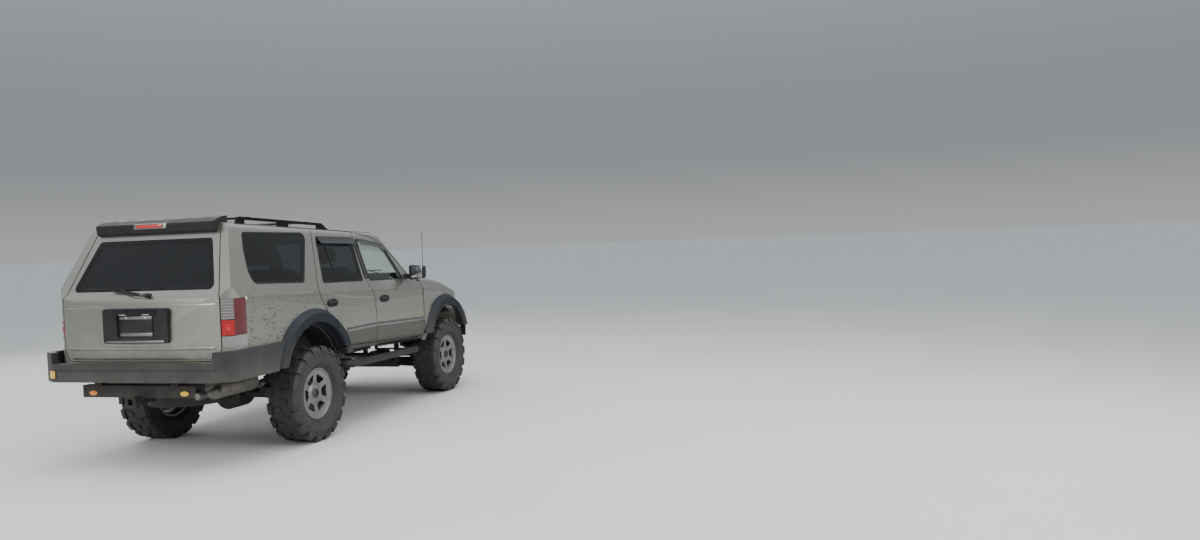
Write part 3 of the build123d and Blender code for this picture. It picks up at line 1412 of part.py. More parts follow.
# Whip aerial on the right wing
AERIAL_STATION = 2390.0
AERIAL_Y = -735.0
aerial = joined(
    rod((rear(AERIAL_STATION), AERIAL_Y, up(1200)), (rear(AERIAL_STATION), AERIAL_Y, up(1820)), 3),
    rod((rear(AERIAL_STATION), AERIAL_Y, up(1200)), (rear(AERIAL_STATION), AERIAL_Y, up(1335)), 16),
)
save(cut(aerial, NOSE_CLEAR), "aerial")
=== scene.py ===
import json
import math
from contextlib import contextmanager

import bmesh
import bpy
from mathutils import Matrix, Vector
from mathutils.bvhtree import BVHTree


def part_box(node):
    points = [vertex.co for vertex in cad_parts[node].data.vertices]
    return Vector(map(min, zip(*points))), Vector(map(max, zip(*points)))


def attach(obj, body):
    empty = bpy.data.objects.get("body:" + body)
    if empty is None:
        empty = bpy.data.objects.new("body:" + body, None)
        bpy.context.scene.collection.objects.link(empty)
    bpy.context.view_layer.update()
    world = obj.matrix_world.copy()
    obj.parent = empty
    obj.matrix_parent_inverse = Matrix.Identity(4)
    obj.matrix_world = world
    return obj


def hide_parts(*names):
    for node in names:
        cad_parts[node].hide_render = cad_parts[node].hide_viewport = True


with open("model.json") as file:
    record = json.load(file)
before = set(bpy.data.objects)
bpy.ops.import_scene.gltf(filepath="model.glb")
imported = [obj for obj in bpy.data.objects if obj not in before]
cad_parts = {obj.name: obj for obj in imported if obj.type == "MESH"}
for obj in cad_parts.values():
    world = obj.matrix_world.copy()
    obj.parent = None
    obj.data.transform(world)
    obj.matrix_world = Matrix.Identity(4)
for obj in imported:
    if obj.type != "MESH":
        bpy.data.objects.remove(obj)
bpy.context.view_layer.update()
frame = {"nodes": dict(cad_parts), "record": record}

NODES = frame["nodes"]
ROOT = "body_and_frame"
GATE = "tailgate_door"
SIDES = (("left", 1), ("right", -1))
UP = Vector((0, 0, 1))
SIDEWAYS = Vector((0, 1, 0))
REARWARD = Vector((-1, 0, 0))


# Places read from the frame

def middle(node):
    """The middle of a CAD node's box."""
    low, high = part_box(node)
    return (low + high) / 2


REAR_X = middle("wheel_rear_right").x
FRONT_X = middle("wheel_front_right").x
AXLE_Z = middle("wheel_rear_right").z
WHEEL_Y = abs(middle("wheel_rear_right").y)


def st(station):
    """X of a station measured forward from the rear axle, in metres."""
    return REAR_X + station


# Materials

class Nodes:
    """A node tree being drawn, with short names for the nodes that it uses."""

    def __init__(self, tree, coords="Object"):
        self.tree = tree
        self.coords = self.add("TexCoord").outputs[coords]

    def feed(self, node, inputs):
        """Values or links put into a node's inputs."""
        for key, value in inputs.items():
            if isinstance(value, bpy.types.NodeSocket):
                self.tree.links.new(value, node.inputs[key])
            else:
                node.inputs[key].default_value = value

    def add(self, kind, inputs=(), **settings):
        """A shader node with its settings, and its inputs as values or links."""
        made = self.tree.nodes.new(f"ShaderNode{kind}")
        for key, value in settings.items():
            setattr(made, key, value)
        self.feed(made, dict(inputs))
        return made

    def axes(self):
        """The coordinates one by one."""
        return list(self.add("SeparateXYZ", {"Vector": self.coords}).outputs)

    def noise(self, scale, detail=4.0, rough=0.55, distortion=0.0, coords=None):
        """Noise from 0 to 1 at a scale in features per metre."""
        return self.add("TexNoise", {
            "Vector": coords or self.coords, "Scale": scale, "Detail": detail, "Roughness": rough,
            "Distortion": distortion,
        }).outputs["Fac"]

    def wave(self, scale, direction="Y", distortion=0.0):
        """Bands from 0 to 1 across a direction."""
        inputs = {"Vector": self.coords, "Scale": scale, "Distortion": distortion}
        return self.add("TexWave", inputs, bands_direction=direction).outputs["Fac"]

    def stretched(self, scale, turn=(0.0, 0.0, 0.0)):
        """The coordinates turned and scaled."""
        inputs = {"Vector": self.coords, "Rotation": turn, "Scale": scale}
        return self.add("Mapping", inputs).outputs["Vector"]

    def ramp(self, value, low, high, start=0.0, end=1.0):
        """A value mapped smoothly from low..high to start..end."""
        return self.add(
            "MapRange", {"Value": value, "From Min": low, "From Max": high, "To Min": start, "To Max": end},
            interpolation_type="SMOOTHSTEP",
        ).outputs["Result"]

    def maths(self, operation, first, second=0.0):
        """One sum on two numbers."""
        return self.add("Math", {0: first, 1: second}, operation=operation, use_clamp=False).outputs[0]

    def product(self, first, *others):
        """Several numbers multiplied."""
        for other in others:
            first = self.maths("MULTIPLY", first, other)
        return first

    def most(self, first, *others):
        """The largest of several numbers."""
        for other in others:
            first = self.maths("MAXIMUM", first, other)
        return first

    def mix(self, factor, first, second):
        """A colour between two others."""
        first, second = (c if isinstance(c, bpy.types.NodeSocket) else (*c, 1.0) for c in (first, second))
        return self.add("Mix", {0: factor, 6: first, 7: second}, data_type="RGBA").outputs[2]


class Skin(Nodes):
    """The material of a surface, drawn in the piece's own coordinates."""

    def __init__(self, name):
        self.material = bpy.data.materials.new(name)
        self.material.use_nodes = True
        super().__init__(self.material.node_tree)

    def low_mask(self, clean_above, dirty_below, patchiness):
        """1 low on the vehicle and 0 higher up, with a broken edge."""
        shift = self.product(self.maths("SUBTRACT", self.noise(5.0, 8.0, 0.65), 0.5), patchiness)
        return self.ramp(self.maths("ADD", self.axes()[2], shift), dirty_below, clean_above, 1.0, 0.0)

    def done(self, tone, inputs, relief=None):
        """The finished material. Relief is its height, strength and distance."""
        shader = self.tree.nodes["Principled BSDF"]
        self.feed(shader, {"Base Color": tone, **inputs})
        if relief:
            bump = self.add("Bump", dict(zip(("Height", "Strength", "Distance"), relief)))
            self.feed(shader, {"Normal": bump.outputs["Normal"]})
        return self.material


def shade(color, amount):
    """A colour made lighter or darker."""
    return [c * amount for c in color]


PAINT = (0.315, 0.315, 0.272)
FLARE_BLACK = (0.01, 0.012, 0.017)
MUD = (0.105, 0.092, 0.072)
DRIED = (0.045, 0.04, 0.032)
# Nearly black for what faces the road: underseal, with painted shade under the body
UNDERSEAL_AND_SHADE = (0.014, 0.014, 0.015)
DUST = (0.22, 0.19, 0.15)
RUST = (0.12, 0.05, 0.022)
CLEAR = (0.86, 0.95, 0.9)
FLARE_CENTRE_Z = 0.56
FLARE_EDGE = 0.604


def paint(name, color):
    """Metallic paint under lacquer, with road film low down and dried mud thrown up by the wheels."""
    skin = Skin(name)
    x, y, z = skin.axes()
    width = skin.maths("ABSOLUTE", y)
    flakes = skin.ramp(skin.noise(900.0, 2.0), 0.35, 0.65)
    tone = skin.mix(flakes, shade(color, 0.93), shade(color, 1.06))
    tone = skin.mix(skin.ramp(skin.noise(1.7, 3.0), 0.3, 0.7, 0.0, 0.2), tone, shade(color, 0.86))

    # Spots of mud on the outer skin from the rear door back, in clumps, up to the windows
    drops = skin.add(
        "TexVoronoi",
        {"Vector": skin.stretched((0.5, 1.0, 1.6), (0.0, 0.5, 0.0)), "Scale": 44.0, "Randomness": 1.0},
        feature="F1",
    ).outputs["Distance"]
    size = skin.ramp(skin.noise(11.0, 6.0, 0.7, 1.2), 0.4, 0.66, 0.1, 0.52)
    lean_in = skin.product(skin.maths("MAXIMUM", skin.maths("SUBTRACT", z, 1.34), 0.0), 0.36)
    spots = skin.product(
        skin.ramp(skin.maths("SUBTRACT", drops, size), -0.05, 0.05, 1.0, 0.0),
        skin.ramp(x, st(0.85), st(0.35)),
        skin.ramp(x, st(-1.02), st(-0.9)),
        skin.ramp(z, 1.36, 1.6, 1.0, 0.0),
        skin.ramp(skin.maths("ADD", width, lean_in), 0.77, 0.785),
        0.85,
    )
    tone = skin.mix(spots, tone, DRIED)
    film = skin.product(skin.low_mask(1.16, 0.7, 0.42), 0.74)
    tone = skin.mix(film, tone, MUD)

    # The doors' lower cladding is darker than the paint above the moulding
    line = skin.maths("ADD", z, skin.product(skin.maths("SUBTRACT", x, st(1.1)), 0.036))
    cladding = skin.product(
        skin.ramp(line, 0.9, 0.906, 1.0, 0.0), skin.ramp(x, st(0.5), st(0.52)),
        skin.ramp(x, st(2.16), st(2.14)), 0.72,
    )
    tone = skin.mix(cladding, tone, shade(color, 0.16))

    # Underseal and painted shade: nearly black on what faces the road, inside the arches and under the body
    inner = skin.product(
        skin.ramp(width, 0.762, 0.775, 1.0, 0.0), skin.ramp(z, 1.04, 1.06, 1.0, 0.0),
        skin.ramp(x, st(-0.74), st(-0.72)), skin.ramp(x, st(2.98), st(2.95)),
    )
    tone = skin.mix(inner, tone, UNDERSEAL_AND_SHADE)

    # The end of the rear arch flare that is fixed to the door is moulded plastic
    along = skin.maths("POWER", skin.maths("SUBTRACT", x, REAR_X), 2.0)
    rise = skin.maths("POWER", skin.maths("SUBTRACT", z, FLARE_CENTRE_Z), 2.0)
    arc = skin.maths("SQRT", skin.maths("ADD", along, rise))
    flare = skin.product(
        skin.ramp(arc, FLARE_EDGE - 0.002, FLARE_EDGE + 0.002, 1.0, 0.0), skin.ramp(width, 0.776, 0.786)
    )
    tone = skin.mix(flare, tone, FLARE_BLACK)
    film = skin.most(film, spots, inner, skin.product(flare, 0.55))
    return skin.done(
        tone,
        {
            "Metallic": skin.ramp(film, 0.0, 0.8, 0.86, 0.0),
            "Roughness": skin.ramp(film, 0.0, 0.6, 0.3, 0.82),
            "Coat Weight": skin.ramp(film, 0.0, 0.5, 0.85, 0.0),
            "Coat Roughness": 0.06,
        },
        (skin.product(film, skin.noise(260.0, 5.0, 0.7)), 0.35, 0.002),
    )


def plastic(name, color, rough, grain, dusty=0.5, clean_above=1.25, dirty_below=0.62):
    """Moulded plastic with a fine grain, bleached a little and dusty low down."""
    skin = Skin(name)
    worn = skin.noise(9.0, 6.0, 0.6)
    bleached = [min(c * 1.5 + 0.006, 1) for c in color]
    tone = skin.mix(skin.ramp(worn, 0.35, 0.75, 0.0, 0.5), color, bleached)
    film = skin.product(skin.low_mask(clean_above, dirty_below, 0.5), dusty)
    dull = skin.ramp(worn, 0.3, 0.8, rough - 0.07, min(rough + 0.12, 1.0))
    return skin.done(
        skin.mix(film, tone, DUST), {"Roughness": dull, "Specular IOR Level": 0.24},
        (skin.noise(grain, 3.0), 0.18, 0.0006),
    )


def metal(name, color, rough, brushed=0.0, dusty=0.3, rust=0.0, clean_above=0.95, dirty_below=0.25):
    """Metal with uneven polish, dirt in the low places, and rust where the work is rough."""
    skin = Skin(name)
    worn = skin.noise(24.0, 6.0, 0.6)
    tone = skin.mix(skin.ramp(worn, 0.3, 0.7), shade(color, 0.85), [min(c * 1.1, 1) for c in color])
    film = skin.product(skin.low_mask(clean_above, dirty_below, 0.4), dusty)
    if rust:
        patches = skin.ramp(skin.noise(17.0, 8.0, 0.7), 0.5, 0.68, 0.0, rust)
        tone = skin.mix(patches, tone, RUST)
        film = skin.most(film, patches)
    else:
        tone = skin.mix(film, tone, MUD)
    if brushed:
        relief = (skin.noise(1.0, 2.0, coords=skin.stretched((30.0, 900.0, 900.0))), brushed, 0.0004)
    else:
        relief = (skin.noise(380.0, 4.0), 0.08, 0.0005)
    dull = skin.ramp(skin.maths("ADD", film, skin.product(worn, 0.2)), 0.0, 1.0, rough, 0.85)
    return skin.done(tone, {"Metallic": skin.ramp(film, 0.0, 0.7, 1.0, 0.25), "Roughness": dull}, relief)


def glass(name, color, rough=0.0, ahead=None):
    """Tinted glass with a light film of dust, and a clearer tint ahead of the cabin's middle."""
    skin = Skin(name)
    if ahead:
        color = skin.mix(skin.ramp(skin.axes()[0], -0.02, 0.02), color, ahead)
    specks = skin.ramp(skin.noise(120.0, 6.0, 0.75), 0.5, 0.8, 0.0, 0.088)
    dull = skin.ramp(specks, 0.0, 0.3, rough, rough + 0.25)
    inputs = {"Roughness": dull, "Transmission Weight": 1.0, "IOR": 1.45}
    return skin.done(skin.mix(specks, color, DUST), inputs)


def rubber(name):
    """Tyre rubber: grey-brown dust over the sidewalls and in the tread."""
    skin = Skin(name)
    fine = skin.noise(210.0, 5.0, 0.7)
    smears = skin.ramp(skin.noise(8.0, 8.0, 0.68, 0.6), 0.33, 0.66, 0.25, 1.0)
    dust = skin.product(smears, skin.ramp(fine, 0.2, 0.7, 0.5, 1.0), 0.42)
    tone = skin.mix(dust, (0.012, 0.012, 0.013), (0.085, 0.073, 0.058))
    return skin.done(tone, {"Roughness": skin.ramp(dust, 0.0, 0.8, 0.62, 0.95)}, (fine, 0.3, 0.0012))


def lamp_lens(name):
    """The tail lamp: smoked and striped at the top, red below, clear at the foot, red round the corner."""
    skin = Skin(name)
    x, _, z = skin.axes()
    stripe = skin.ramp(skin.maths("FRACT", skin.product(z, 44.0)), 0.5, 0.62)
    tone = skin.mix(stripe, (0.13, 0.12, 0.115), (0.27, 0.255, 0.245))
    tone = skin.mix(skin.ramp(z, 1.164, 1.168, 1.0, 0.0), tone, (0.42, 0.004, 0.006))
    tone = skin.mix(skin.ramp(z, 1.04, 1.044, 1.0, 0.0), tone, (0.27, 0.27, 0.25))
    corner = skin.product(skin.ramp(x, st(-1.032), st(-1.022)), skin.ramp(z, 1.04, 1.044))
    tone = skin.mix(corner, tone, (0.115, 0.012, 0.014))
    return skin.done(
        tone, {"Roughness": 0.16, "Transmission Weight": 0.15, "Coat Weight": 1.0, "Coat Roughness": 0.03},
        (skin.wave(32.0), 0.4, 0.003),
    )


def fabric(name, color, thread, weave=620.0):
    """Woven cloth: crossed threads, a little fuzz and uneven wear."""
    skin = Skin(name)
    threads = skin.product(skin.wave(weave, "Y", 1.5), skin.wave(weave, "Z", 1.5))
    worn = skin.ramp(skin.noise(6.0, 5.0), 0.4, 0.7, 0.0, 0.25)
    tone = skin.mix(worn, skin.mix(threads, color, thread), shade(thread, 1.5))
    return skin.done(tone, {"Roughness": 0.92, "Sheen Weight": 0.35}, (threads, 0.5, 0.0008))


def red_lens(name):
    """A bright red ribbed lens."""
    skin = Skin(name)
    ribs = skin.wave(60.0)
    tone = skin.mix(ribs, (0.35, 0.003, 0.004), (0.62, 0.012, 0.014))
    return skin.done(tone, {"Roughness": 0.12, "Coat Weight": 1.0}, (ribs, 0.3, 0.002))


def reflector(name, color):
    """A prismatic reflector with a faint honeycomb."""
    skin = Skin(name)
    cells = skin.add("TexVoronoi", {"Vector": skin.coords, "Scale": 330.0}, feature="DISTANCE_TO_EDGE")
    tone = skin.mix(skin.ramp(cells.outputs["Distance"], 0.02, 0.09), shade(color, 0.6), color)
    grime = skin.ramp(skin.noise(30.0, 6.0), 0.45, 0.75, 0.0, 0.5)
    return skin.done(
        skin.mix(grime, tone, MUD), {"Roughness": skin.ramp(grime, 0.0, 0.5, 0.22, 0.7), "Coat Weight": 0.6}
    )


MATERIALS = {
    "body_paint": paint("body_paint", PAINT),
    "flare_plastic": plastic("flare_plastic", FLARE_BLACK, 0.62, 900.0, 0.16, 1.05, 0.6),
    "trim_plastic": plastic("trim_plastic", (0.013, 0.013, 0.014), 0.5, 1100.0, 0.14),
    "bumper_plastic": plastic("bumper_plastic", (0.028, 0.029, 0.03), 0.5, 900.0, 0.2, 0.95, 0.6),
    "clear_glass": glass("clear_glass", CLEAR),
    "dark_glass": glass("dark_glass", (0.045, 0.048, 0.055), ahead=CLEAR),
    "tail_lamp_red": lamp_lens("tail_lamp_lens"),
    "headlamp_lens": glass("headlamp_lens", (0.93, 0.95, 0.96)),
    "bright_metal": metal("bright_metal", (0.6, 0.6, 0.6), 0.1, dusty=0.12, clean_above=0.8, dirty_below=0.4),
    "alloy": metal("alloy", (0.25, 0.25, 0.245), 0.32, dusty=0.35, clean_above=0.85, dirty_below=0.1),
    "tyre_rubber": rubber("tyre_rubber"),
    "frame_black": metal("frame_black", (0.022, 0.022, 0.024), 0.42, dusty=0.5, dirty_below=0.3),
    "bare_steel": metal("bare_steel", (0.22, 0.21, 0.19), 0.5, dusty=0.4, rust=0.75),
    "cast_metal": metal("cast_metal", (0.13, 0.125, 0.12), 0.6, dusty=0.4, rust=0.35),
    "cooler_metal": metal("cooler_metal", (0.2, 0.2, 0.2), 0.45, brushed=0.3),
    "seat_cloth": fabric("seat_cloth", (0.045, 0.042, 0.04), (0.1, 0.095, 0.088)),
    "dash_plastic": plastic("dash_plastic", (0.05, 0.047, 0.044), 0.7, 1400.0, 0.0),
    "gloss_black": plastic("gloss_black", (0.012, 0.012, 0.014), 0.16, 700.0, 0.12, 1.0, 0.5),
    "seal": plastic("seal_rubber", (0.01, 0.01, 0.011), 0.66, 1300.0, 0.1),
    "frit": plastic("glass_border", (0.006, 0.006, 0.007), 0.18, 1500.0, 0.05),
    "smoke": glass("smoked_visor", (0.1, 0.085, 0.085), 0.04),
    "bright_red": red_lens("bright_red_lens"),
    "yellow": reflector("yellow_reflector", (0.85, 0.52, 0.02)),
    "orange": reflector("orange_reflector", (0.8, 0.2, 0.03)),
    "white": reflector("white_lens", (0.7, 0.7, 0.66)),
    "dark_metal": metal("dark_metal", (0.09, 0.09, 0.09), 0.4, dusty=0.4),
    "brake_iron": metal("brake_iron", (0.2, 0.185, 0.17), 0.35, rust=0.45),
    "silver": metal("mirror_silver", (0.88, 0.9, 0.92), 0.02, dusty=0.05),
    "headlining": fabric("headlining", (0.3, 0.285, 0.26), (0.36, 0.34, 0.31), 500.0),
    "leather": plastic("leather_grain", (0.03, 0.028, 0.027), 0.5, 520.0, 0.0),
    "door_card": fabric("door_card_cloth", (0.075, 0.07, 0.064), (0.12, 0.11, 0.1), 500.0),
}

for row in frame["record"]["subparts"]:
    shown = NODES[row["node"]]
    shown.data.materials.clear()
    shown.data.materials.append(MATERIALS[row["material_slot"]])


# Pieces and the shapes in them

def add_object(name, data):
    """An object in the scene."""
    made = bpy.data.objects.new(name, data)
    bpy.context.scene.collection.objects.link(made)
    return made


SHARP, SHARP_PAINT = 38.0, 60.0


def mesh_from(bm, name, finish, sharp=SHARP):
    """The mesh drawn in a bmesh, smooth up to an angle."""
    bmesh.ops.recalc_face_normals(bm, faces=bm.faces)
    mesh = bpy.data.meshes.new(name)
    bm.to_mesh(mesh)
    bm.free()
    for face in mesh.polygons:
        face.use_smooth = True
    mesh.set_sharp_from_angle(angle=math.radians(sharp))
    mesh.materials.append(MATERIALS[finish])
    return mesh


@contextmanager
def drawn(name, finish, body=ROOT, slot=None, sharp=None):
    """A piece that is drawn into a bmesh and then rides its body."""
    bm = bmesh.new()
    yield bm
    sharp = sharp or (SHARP_PAINT if finish == "body_paint" else SHARP)
    piece = add_object(name, mesh_from(bm, name, finish, sharp))
    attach(piece, body)


def spaced(low, high, count):
    """Evenly spaced values with both ends."""
    return [low + (high - low) * i / (count - 1) for i in range(count)]


def spread(path, step=None, parts=1):
    """Points along a 2-D path, each leg divided into parts or at most a step apart."""
    result = [path[0]]
    for (x0, y0), (x1, y1) in zip(path, path[1:]):
        count = max(1, math.ceil(math.hypot(x1 - x0, y1 - y0) / step)) if step else parts
        result += [(x0 + (x1 - x0) * i / count, y0 + (y1 - y0) * i / count) for i in range(1, count + 1)]
    return result


def oval(wide, tall, sides=8):
    """A round or oval outline from its half sizes."""
    return [(wide * math.cos(a), tall * math.sin(a)) for a in (2 * math.pi * i / sides for i in range(sides))]


def arc_points(points, radius, steps=5):
    """A polyline with its inner corners rounded."""
    result = [Vector(points[0])]
    for before, corner, after in zip(points, points[1:], points[2:]):
        corner = Vector(corner)
        back, on = Vector(before) - corner, Vector(after) - corner
        reach = min(radius, back.length * 0.45, on.length * 0.45)
        a, b = corner + back.normalized() * reach, corner + on.normalized() * reach
        for t in spaced(0.0, 1.0, steps + 1):
            result.append(a * (1 - t) ** 2 + corner * 2 * t * (1 - t) + b * t * t)
    return result + [Vector(points[-1])]


def bridge(bm, first, second, closed=True):
    """Faces between two rows of vertices, or between a row and a single one."""
    size = max(len(first), len(second))
    for i in range(size if closed else size - 1):
        j = (i + 1) % size
        corners = [row[k % len(row)] for row, k in ((first, i), (second, i), (second, j), (first, j))]
        corners = list(dict.fromkeys(corners))
        if len(corners) > 2:
            bm.faces.new(corners)


def add_rings(bm, rings, closed=False, caps=True):
    """A skin through rings of points, joined end to end or capped."""
    rings = [[bm.verts.new(p) for p in ring] for ring in rings]
    for first, second in zip(rings, rings[1:] + (rings[:1] if closed else [])):
        bridge(bm, first, second)
    if caps and not closed:
        bm.faces.new(rings[0][::-1])
        bm.faces.new(rings[-1])


def add_slab(bm, front, back):
    """A closed sheet between two grids of points of the same size."""
    front, back = ([[bm.verts.new(p) for p in row] for row in grid] for grid in (front, back))
    for grid in (front, back):
        for first, second in zip(grid, grid[1:]):
            bridge(bm, first, second, closed=False)
    columns = [([row[k] for row in front], [row[k] for row in back]) for k in (0, -1)]
    for first, second in [(front[0], back[0]), (front[-1], back[-1]), *columns]:
        bridge(bm, first, second, closed=False)


def add_block(bm, low, high, bevel, segments=2):
    """A block with rounded edges between two corners."""
    size = [b - a for a, b in zip(low, high)]
    made = bmesh.ops.create_cube(bm, size=1.0)
    bmesh.ops.scale(bm, vec=size, verts=made["verts"])
    edges = list({e for v in made["verts"] for e in v.link_edges})
    amount = min(bevel, min(size) * 0.45)
    rounded = bmesh.ops.bevel(bm, geom=edges, offset=amount, segments=segments, affect="EDGES", profile=0.6)
    verts = list({v for f in rounded["faces"] for v in f.verts} | {v for v in made["verts"] if v.is_valid})
    bmesh.ops.translate(bm, vec=[(a + b) / 2 for a, b in zip(low, high)], verts=verts)


def add_lathe(bm, outline, origin, axis, segments=32, closed=False):
    """A (radius, along) outline turned about an axis through origin."""
    axis = Vector(axis).normalized()
    across = axis.orthogonal().normalized()
    other = axis.cross(across)
    rings = [
        [
            Vector(origin) + axis * along + across * u + other * v
            for u, v in (oval(radius, radius, segments) if radius else [(0, 0)])
        ]
        for radius, along in outline
    ]
    add_rings(bm, rings, closed, caps=False)


def add_sweep(bm, points, profile, normals=UP, closed=False):
    """A closed (across, out) profile carried along points. Out follows one normal or one for each point."""
    count = len(points)
    outs = normals if isinstance(normals, list) else [normals] * count
    rings = []
    for i, (point, out) in enumerate(zip(points, outs)):
        before = points[(i - 1) % count] if closed or i else point
        after = points[(i + 1) % count] if closed or i < count - 1 else point
        ahead = (after - before).normalized()
        out = (out - ahead * out.dot(ahead)).normalized()
        rings.append([point + ahead.cross(out) * u + out * v for u, v in profile])
    add_rings(bm, rings, closed)


# Finding the CAD surfaces

def surface_of(*names):
    """A ray target made of CAD nodes."""
    verts, faces = [], []
    for name in names:
        mesh = NODES[name].data
        base = len(verts)
        verts += [v.co.copy() for v in mesh.vertices]
        faces += [[base + i for i in p.vertices] for p in mesh.polygons]
    return BVHTree.FromPolygons(verts, faces)


def land(target, origin, direction):
    """Where a ray meets a surface, and the normal there, facing back along the ray."""
    place, normal, _, _ = target.ray_cast(Vector(origin), Vector(direction))
    if place is None:
        return None
    return place, -normal if normal.dot(Vector(direction)) > 0 else normal


def looker(aim, *names):
    """A function from the two coordinates across aim to where a ray along aim meets the CAD nodes."""
    target = surface_of(*names)
    axis = [abs(a) for a in aim].index(1)

    def look(first, second):
        origin = [first, second]
        origin.insert(axis, -3.2 * aim[axis])
        return land(target, origin, aim)

    return look


def from_rear(*names):
    """Rays from behind, by Y and Z."""
    return looker((1, 0, 0), *names)


def from_front(*names):
    """Rays from ahead, by Y and Z."""
    return looker((-1, 0, 0), *names)


def from_side(sign, *names):
    """Rays from a side, by X and Z."""
    return looker((0, -sign, 0), *names)


def from_above(*names):
    """Rays from above, by X and Y."""
    return looker((0, 0, -1), *names)


def trace(found):
    """Points and normals of the rays that landed."""
    landed = [spot for spot in found if spot]
    return [spot[0] for spot in landed], [spot[1] for spot in landed]


def add_traced(bm, found, profile):
    """A profile carried along the places where rays landed."""
    points, normals = trace(found)
    add_sweep(bm, points, profile, normals)


def facing_basis(normal):
    """Axes on a surface: along it, up it and out of it."""
    upward = (UP - normal * normal.z).normalized()
    return Matrix((upward.cross(normal), upward, normal)).transposed()


def add_pad(bm, spot, wide, tall, low, high, bevel, segments=2):
    """A rounded block set on a surface where a ray landed. Wide and tall are half sizes."""
    add_block(bm, (-wide, -tall, low), (wide, tall, high), bevel, segments)
    place = Matrix.Translation(spot[0]) @ facing_basis(spot[1]).to_4x4()
    bmesh.ops.transform(bm, matrix=place, verts=bm.verts)


def add_strip(bm, look, path, width, height, lift=0.45, flat=0.72):
    """A raised moulding along a path on the surface that look finds. Lift and flat shape its shoulders."""
    half = width / 2
    profile = [
        (-half, -0.003), (-half, height * lift), (-half * flat, height), (half * flat, height),
        (half, height * lift), (half, -0.003),
    ]
    add_traced(bm, (look(*spot) for spot in spread(path, 0.03)), profile)


def blocks(name, finish, rows, base=0.0, body=ROOT, **options):
    """A piece of rounded blocks. Rows: X, Y and Z of two corners, X from base, then bevel and segments."""
    with drawn(name, finish, body, **options) as bm:
        for x0, y0, z0, x1, y1, z1, bevel, segments in rows:
            add_block(bm, (base + x0, y0, z0), (base + x1, y1, z1), bevel, segments)


# Window seals and borders

def hull_2d(points):
    """The outline of a convex set of points, anticlockwise."""
    points = sorted(points)

    def half(rows):
        kept = []
        for p in rows:
            while len(kept) > 1:
                (ax, ay), (bx, by) = kept[-2:]
                if (bx - ax) * (p[1] - ay) - (by - ay) * (p[0] - ax) > 1e-9:
                    break
                kept.pop()
            kept.append(p)
        return kept[:-1]

    return half(points) + half(points[::-1])


def seal(name, node, axis, towards, body=ROOT, keep=lambda v: True, finish="seal", profile=(
    (0.009, -0.003), (0.009, 0.003), (0.002, 0.0055), (-0.01, 0.004), (-0.013, -0.001)
)):
    """A strip round a pane's outer face. Profile columns: outward from the pane's edge, out of its face."""
    mesh = NODES[node].data
    spots = [v.co.copy() for v in mesh.vertices]
    faces = [list(p.vertices) for p in mesh.polygons if all(keep(spots[i]) for i in p.vertices)]
    target = BVHTree.FromPolygons(spots, faces)
    flat = [i for i in range(3) if i != axis]
    outline = hull_2d({tuple(round(spots[i][k], 5) for k in flat) for face in faces for i in face})
    loop = spread(outline + outline[:1], 0.04)[:-1]
    centre = [sum(spot[k] for spot in loop) / len(loop) for k in (0, 1)]
    ray = Vector((0, 0, 0))
    ray[axis] = -towards
    found = []
    for spot in loop:
        shrink = 1 - 0.0015 / math.hypot(spot[0] - centre[0], spot[1] - centre[1])
        origin = -3.0 * ray
        for k in (0, 1):
            origin[flat[k]] = centre[k] + (spot[k] - centre[k]) * shrink
        found.append(land(target, origin, ray))
    points, normals = trace(found)
    across = (points[1] - points[0]).cross(normals[0])
    if across.dot(points[0] - sum(points, Vector()) / len(points)) <= 0:
        profile = [(-u, v) for u, v in profile]
    with drawn(name, finish, body) as bm:
        add_sweep(bm, points, profile, normals, closed=True)


for side, sign in SIDES:
    for door in ("front_door", "rear_door"):
        seal(f"seal_{door}_{side}", f"glass_{door}_{side}", 1, sign, f"{door}_{side}")
    seal(f"seal_quarter_{side}", "fixed_glass", 1, sign, keep=lambda v: v.x < -0.5 and v.y * sign > 0)
seal("seal_windscreen", "fixed_glass", 0, 1, keep=lambda v: v.x > 0)
seal(
    "border_tailgate_glass", "glass_tailgate", 0, -1, GATE, finish="frit",
    profile=((0.01, -0.003), (0.01, 0.003), (0.0, 0.0045), (-0.04, 0.0022), (-0.042, -0.001)),
)


# Body sides

DOOR_OF = {"door_rear": "rear_door", "door_front": "front_door", "glass_rear_door": "rear_door"}
SIDE_STRIPS = (
    # Name, CAD node, finish, width, height, path of station and height
    ("moulding_rear_door", "door_rear", "alloy", 0.038, 0.0065, ((0.545, 0.921), (1.084, 0.921))),
    ("moulding_front_door", "door_front", "alloy", 0.038, 0.0065, ((1.118, 0.920242), (2.118, 0.884155))),
    ("crease_rear_door", "door_rear", "body_paint", 0.03, 0.0022,
     ((0.14, 1.296), (0.724, 1.222), (1.085, 1.196))),
    ("crease_front_door", "door_front", "body_paint", 0.03, 0.0022, ((1.118, 1.262), (2.118, 1.2))),
    ("crease_quarter", "side_panel", "body_paint", 0.03, 0.0022,
     ((-0.939, 1.324), (-0.174, 1.304), (0.08, 1.298))),
    ("crease_wing", "front_wing", "body_paint", 0.03, 0.0022, ((2.158, 1.197), (2.55, 1.152), (2.93, 1.107))),
    ("sill_cover", "side_panel", "gloss_black", 0.052, 0.003, ((0.6, 0.722), (2.06, 0.675))),
    ("divider_rear_door", "glass_rear_door", "seal", 0.026, 0.006, ((0.505, 1.366), (0.475, 1.78))),
    ("pillar_tape_rear_door", "door_rear", "seal", 0.03, 0.0016, ((1.005, 1.375), (1.001, 1.782))),
    ("pillar_tape_front_door", "door_front", "seal", 0.03, 0.0016, ((1.053, 1.375), (1.05, 1.766))),
)
